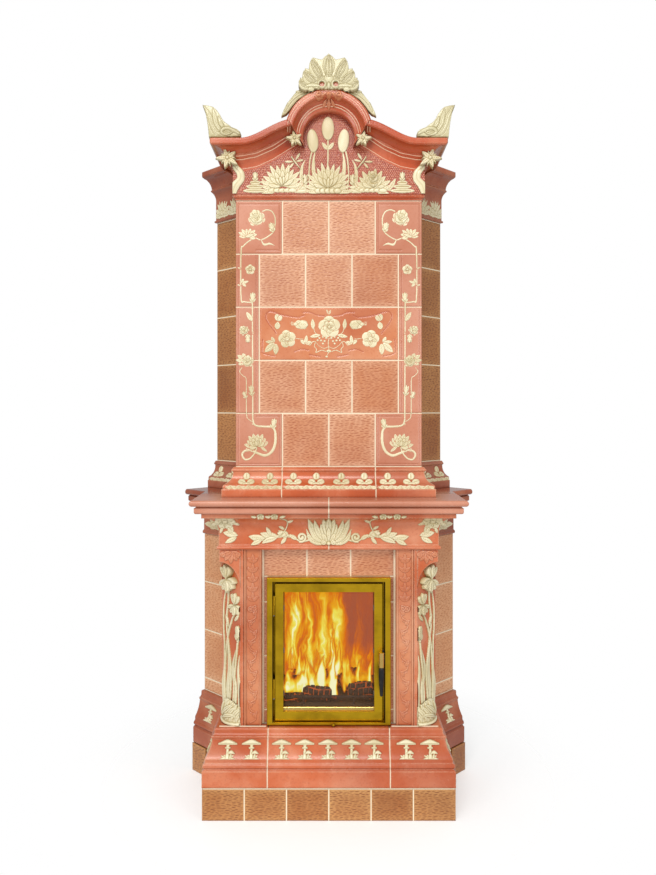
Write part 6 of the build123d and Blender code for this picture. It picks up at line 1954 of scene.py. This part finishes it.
# %% Painted shade in the door gap
gap_shade = Body()
REVEAL = np.linspace(0.0, 21.0, 22)
SHADE_FRONT, SHADE_HALF, SHADE_FOOT, SHADE_TOP = 63.5, 199.5, 313.5, 810.5
shade_sheet_rise = 0.6 + 1.1 * np.exp(-((REVEAL - 4) / 2.2) ** 2)


def hinge_side(u, v, h):
    return metres(-SHADE_HALF + h, SHADE_FRONT + u, v)


def handle_side(u, v, h):
    return metres(SHADE_HALF - h, SHADE_FRONT + REVEAL[-1] - u, v)


def head_side(u, v, h):
    return metres(v, SHADE_FRONT + u, SHADE_TOP - h)


for put, low, high in (
        (hinge_side, SHADE_FOOT, 390.5), (hinge_side, 464.8, 685.5), (hinge_side, 759.8, SHADE_TOP),
        (handle_side, SHADE_FOOT, SHADE_TOP), (head_side, -SHADE_HALF, SHADE_HALF)):
    v = np.linspace(low, high, 60)
    gap_shade.slab(put, REVEAL, v, np.repeat(shade_sheet_rise[None, :], len(v), axis=0), 0.3)
# A dark sheet that stands in for the shade in the gap round the door leaf.
gap_shade.make("painted_gap_shade", blackened, slot="casing_steel")

# %% [markdown]
# ## The fire
# The logs have burnt for a while. Charred wood shrinks and cracks into small blocks, and the cracks
# glow. Each log is half round. Three lie on the ash bed where the model has them, and three small
# ones in front stand a little way down in the ash.

# %% Charred logs
BLOCK_LONG, BLOCK_WIDE = 19, 15        # the blocks that charred wood cracks into


def char(along_log, around):
    """Clay-like heights of the charred blocks and how deep in a crack each point is."""
    up = around / BLOCK_WIDE + 0.2 * np.sin(along_log * 0.05)
    row = np.floor(up)
    on = (along_log + scatter(row, 1.0, 3.0) * BLOCK_LONG) / BLOCK_LONG
    col = np.floor(on)
    to_side = np.abs(on - col - 0.5 + 0.2 * (scatter(row, col, 2.0) - 0.5)) * BLOCK_LONG
    to_top = np.abs(up - row - 0.5) * BLOCK_WIDE
    crack = np.maximum(np.exp(-((BLOCK_LONG / 2 - to_side) / 1.9) ** 2),
                       np.exp(-((BLOCK_WIDE / 2 - to_top) / 1.7) ** 2))
    grain = 0.7 * np.sin(around * 2.2 + 2 * np.sin(along_log * 0.08)) * scatter(row, col, 8.0)
    return 3.2 * scatter(col, row, 6.0) + grain - 4.6 * crack, crack


def log_at(body, x, y, turn, length, radius, tall, foot):
    """A half-round log: its bark, its two cut ends and its underside."""
    c, s = math.cos(math.radians(turn)), math.sin(math.radians(turn))

    def put(a, around, up):
        return metres(x + a * c - around * s, y + a * s + around * c, foot + up)

    a = np.linspace(-length / 2, length / 2, int(length / 2.2))
    t = np.linspace(0, math.pi, 64)
    aa, tt = np.meshgrid(a, t)
    rise, crack = char(aa + x, tt * radius)
    end = np.clip((length / 2 - np.abs(aa)) / 7, 0, 1) ** 0.5
    reach = 0.94 + 0.05 * np.sin(aa * 0.021 + x) + 0.03 * np.sin(tt * 3 + x)
    body.grid(put(aa, (radius * reach + rise) * np.cos(tt) * (0.86 + 0.14 * end),
                  (tall * reach + rise) * np.sin(tt) * (0.86 + 0.14 * end)), crack)
    rim_t, share = np.meshgrid(t, np.linspace(0, 1, 14))
    rings = np.sin(share * 26) * 0.8
    for tip in (0, -1):
        rim_rise, rim_reach = rise[:, tip][None, :] * share, reach[:, tip][None, :]
        body.grid(put(a[tip] + (rings if tip else -rings) * 0.6,
                      (radius * rim_reach + rim_rise) * np.cos(rim_t) * 0.86 * share,
                      (tall * rim_reach + rim_rise) * np.sin(rim_t) * 0.86 * share),
                  np.clip(np.sin(share * 20), 0, 1) * 0.3, flip=tip == 0)
    flat_a, flat_b = np.meshgrid(a[[0, -1]], [-radius * 0.9, radius * 0.9])
    body.grid(put(flat_a, flat_b, 0.0), flip=True)


def charred_wood():
    """Black, ashy wood whose cracks glow."""
    f = Finish("charred_wood")
    crack = f.drawn("hollow")
    ashy = f.noise(60.0, 4.0, 0.7)
    hot = f.noise(14.0, 3.0, 0.6)
    colour = f.mix(ashy.between(0.5, 0.75), (0.020, 0.013, 0.012), (0.085, 0.052, 0.042))
    coal = (f.noise(85.0, 2.0, 0.5) - 0.1) * hot
    glow = f.mix(crack.between(0.35, 0.95) * hot.between(0.36, 0.6) + coal.between(0.26, 0.42)
                 * 0.5, (0.010, 0.003, 0.002), (1.0, 0.16, 0.015))
    f.set(Base_Color=colour, Roughness=(ashy * 0.2 + 0.72), Emission_Color=glow,
          Emission_Strength=0.5,
          Normal=f.bump(f.noise(210.0, 4.0, 0.7), 0.0015, 0.7))
    return f.material


charred = charred_wood()
sooty = grainy("sooty_brick", (0.10, 0.065, 0.045), (0.03, 0.022, 0.018), 120.0, 0.0015,
               patches=14.0)
logs = Body()
ASH_TOP, BAR_FOOT = 365.0, 352.0
for x, y, turn, length in ((-72, 258, 14, 190), (92, 258, -64, 160), (-20, 392, 3, 270)):
    log_at(logs, x, y, turn, length, 46.0, 50.0 if y < 300 else 26.0, ASH_TOP)
logs.make("burning_logs", charred, slot="charred_wood", stands_for=["logs"])
small_logs = Body()
for log in ((-104, 181, 7, 122, 22.0, 25.0), (-42, 185, -12, 104, 22.0, 48.0),
            (118, 190, -8, 92, 26.0, 70.0)):
    log_at(small_logs, *log, BAR_FOOT)
small_logs.make("front_logs", charred, slot="charred_wood")
embers = charred_wood()
embers.name = "embers"
for node in ("ash_bed", "log_bar"):
    nodes[node].material_slots[0].material = embers
nodes["floor_bricks"].material_slots[0].material = sooty

# %% [markdown]
# Flames are drawn on three curved sheets, one behind the other: a glow that fills the firebox, tall
# tongues rising from the back log, and lively short ones in front. Each sheet stores how hot the
# gas is at every point, from a sum of leaning tongues broken up by rising streaks. The finish turns
# heat into colour and cover.

# %% Flames


def cloud(u, v, seed):
    """Smooth random numbers from 0 to 1 in a plane."""
    total, share = 0.0, 0.55
    for octave in range(3):
        a, b = u * 2 ** octave + octave * 17.3, v * 2 ** octave + octave * 9.1
        i, j = np.floor(a), np.floor(b)
        p, q = a - i, b - j
        p, q = p * p * (3 - 2 * p), q * q * (3 - 2 * q)
        low = scatter(i, j, seed) * (1 - p) + scatter(i + 1, j, seed) * p
        high = scatter(i, j + 1, seed) * (1 - p) + scatter(i + 1, j + 1, seed) * p
        total = total + share * (low * (1 - q) + high * q)
        share *= 0.5
    return total / 0.9625


FLAME_HALF, FLAME_STEP = 178.0, 2.2


def flame_sheet(body, y, bend, foot, top, tongues, base, seed):
    """One sheet of flames; a tongue is (x, foot, height, half width, lean, heat)."""
    u = np.linspace(-FLAME_HALF, FLAME_HALF, int(2 * FLAME_HALF / FLAME_STEP) + 1)
    v = np.linspace(foot, top, int((top - foot) / FLAME_STEP) + 1)
    uu, vv = np.meshgrid(u, v)
    sway = (cloud(uu / 60, vv / 95 + 3, seed)
            - 0.5) * 62 + (cloud(uu / 19, vv / 42, seed + 3) - 0.5) * 20
    heat = base(uu, vv) if base else 0.0 * uu
    for x, z, tall, wide, lean, strength in tongues:
        s = (vv - z) / tall
        middle = x + lean * np.clip(s, 0, 2) ** 1.4
        width = wide * np.clip(0.35 + 2.4 * s, 0.2, 1) * np.clip(1.06 - s, 0.02, 1) ** 0.75
        near = np.clip(1 - np.abs(uu + sway * np.clip(s + 0.15, 0, 1.2) - middle) / width, 0, 1)
        rise = np.clip((s + 0.12) / 0.12, 0, 1) * np.clip((1.06 - s) / 0.5, 0, 1)
        heat = heat + strength * near ** 1.1 * rise
    streak = cloud((uu + sway) / 9, vv / 74, seed + 7)
    heat = heat * (0.5 + 0.95 * streak)
    body.grid(metres(uu, y - bend * (1 - (uu / FLAME_HALF) ** 2), vv), np.clip(heat, 0, 1.2))


def fire_finish(name, solid):
    """Heat to colour; a solid sheet covers all that is behind it."""
    f = Finish(name)
    heat = f.drawn("hollow")
    fleck = f.noise(42.0, 3.0, 0.6)
    warm = heat + (fleck - 0.5) * 0.1
    colour = f.add("ShaderNodeValToRGB", {"stops": (
        (0.0, (0.30, 0.075, 0.05)), (0.2, (0.42, 0.085, 0.035)), (0.42, (0.72, 0.15, 0.003)),
        (0.62, (0.86, 0.42, 0.010)), (0.8, (0.90, 0.80, 0.10)),
        (1.0, (0.98, 0.97, 0.58)))}, {"Fac": warm})
    f.set(Base_Color=(0.0, 0.0, 0.0), Emission_Color=colour, Emission_Strength=1.0,
          Roughness=(fleck * 0.1 + 0.8), Specular_IOR_Level=0.0)
    if not solid:
        f.set(Alpha=(warm.between(0.16, 0.62)))
    return f.material


def glow_base(u, v):
    """Bright orange to the left, dull red-brown to the upper right."""
    right = np.clip((u - 20) / 70, 0, 1) * np.clip((v - 430) / 60, 0, 1)
    return 0.46 - 0.30 * right + 0.10 * (cloud(u / 50, v / 120, 41) - 0.5)


glow, tall_flames, near_flames = Body(), Body(), Body()
flame_sheet(glow, 444.0, 6.0, 352.0, 712.0, [
    (-150, 380, 380, 46, 30, 0.5), (-70, 380, 340, 44, -30, 0.3), (-20, 380, 330, 50, 10, 0.42),
    (40, 380, 340, 60, -10, 0.35),
    (120, 380, 300, 30, 16, 0.2)], glow_base, 5)
flame_sheet(tall_flames, 318.0, 12.0, 366.0, 690.0, [
    (12, 372, 262, 34, -8, 0.95), (34, 372, 215, 22, 14, 0.7), (-40, 372, 180, 24, -26, 0.62),
    (-120, 372, 240, 20, 34, 0.5), (-152, 372, 180, 22, 16, 0.55), (118, 372, 150, 24, 22, 0.5),
    (80, 372, 120, 22, -22, 0.42), (-90, 330, 160, 100, 0, 0.8),
    (70, 330, 150, 100, 0, 0.75)], None, 11)
flame_sheet(near_flames, 196.0, 10.0, 366.0, 640.0, [
    (14, 336, 280, 25, -6, 1.15), (26, 336, 140, 18, 12, 0.9), (-62, 376, 150, 36, -22, 0.85),
    (-20, 378, 160, 30, -16, 0.8), (-122, 366, 96, 60, 14, 1.05), (-156, 362, 130, 32, 6, 0.9),
    (-96, 370, 160, 28, 20, 0.7), (80, 392, 150, 34, -22, 0.8), (112, 396, 124, 40, 16, 0.8),
    (150, 380, 150, 36, 12, 0.85), (58, 384, 160, 26, -10, 0.7), (-40, 378, 120, 50, 10, 0.65),
    (0, 350, 110, 150, 0, 0.32)], None, 23)
glow.make("fire_glow", fire_finish("fire_glow", True))
tall_flames.make("flames_tall", fire_finish("flames_tall", False))
near_flames.make("flames_near", fire_finish("flames_near", False))

# %% [markdown]
# Two bodies are still open: the flat fields under the ornament, which share one glaze, and the
# irises of the pillars. The rest of the cream clay was made piece by piece above, tier by tier.

# %% Make the fields and the irises
grounds.make("ornament_fields", ornament_glaze, slot="glaze_plain")
flowers.make("irises", cream_glaze, slot="glaze_cream")

# %% [markdown]
# Last, we measure the dressed stove against the box of its solids.

# %% Size
bpy.context.view_layer.update()
dressed_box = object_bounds()
plain_lists = [[list(map(float, corner)) for corner in box] for box in (cad_box, dressed_box)]
print("solids", plain_lists[0], "dressed", plain_lists[1])
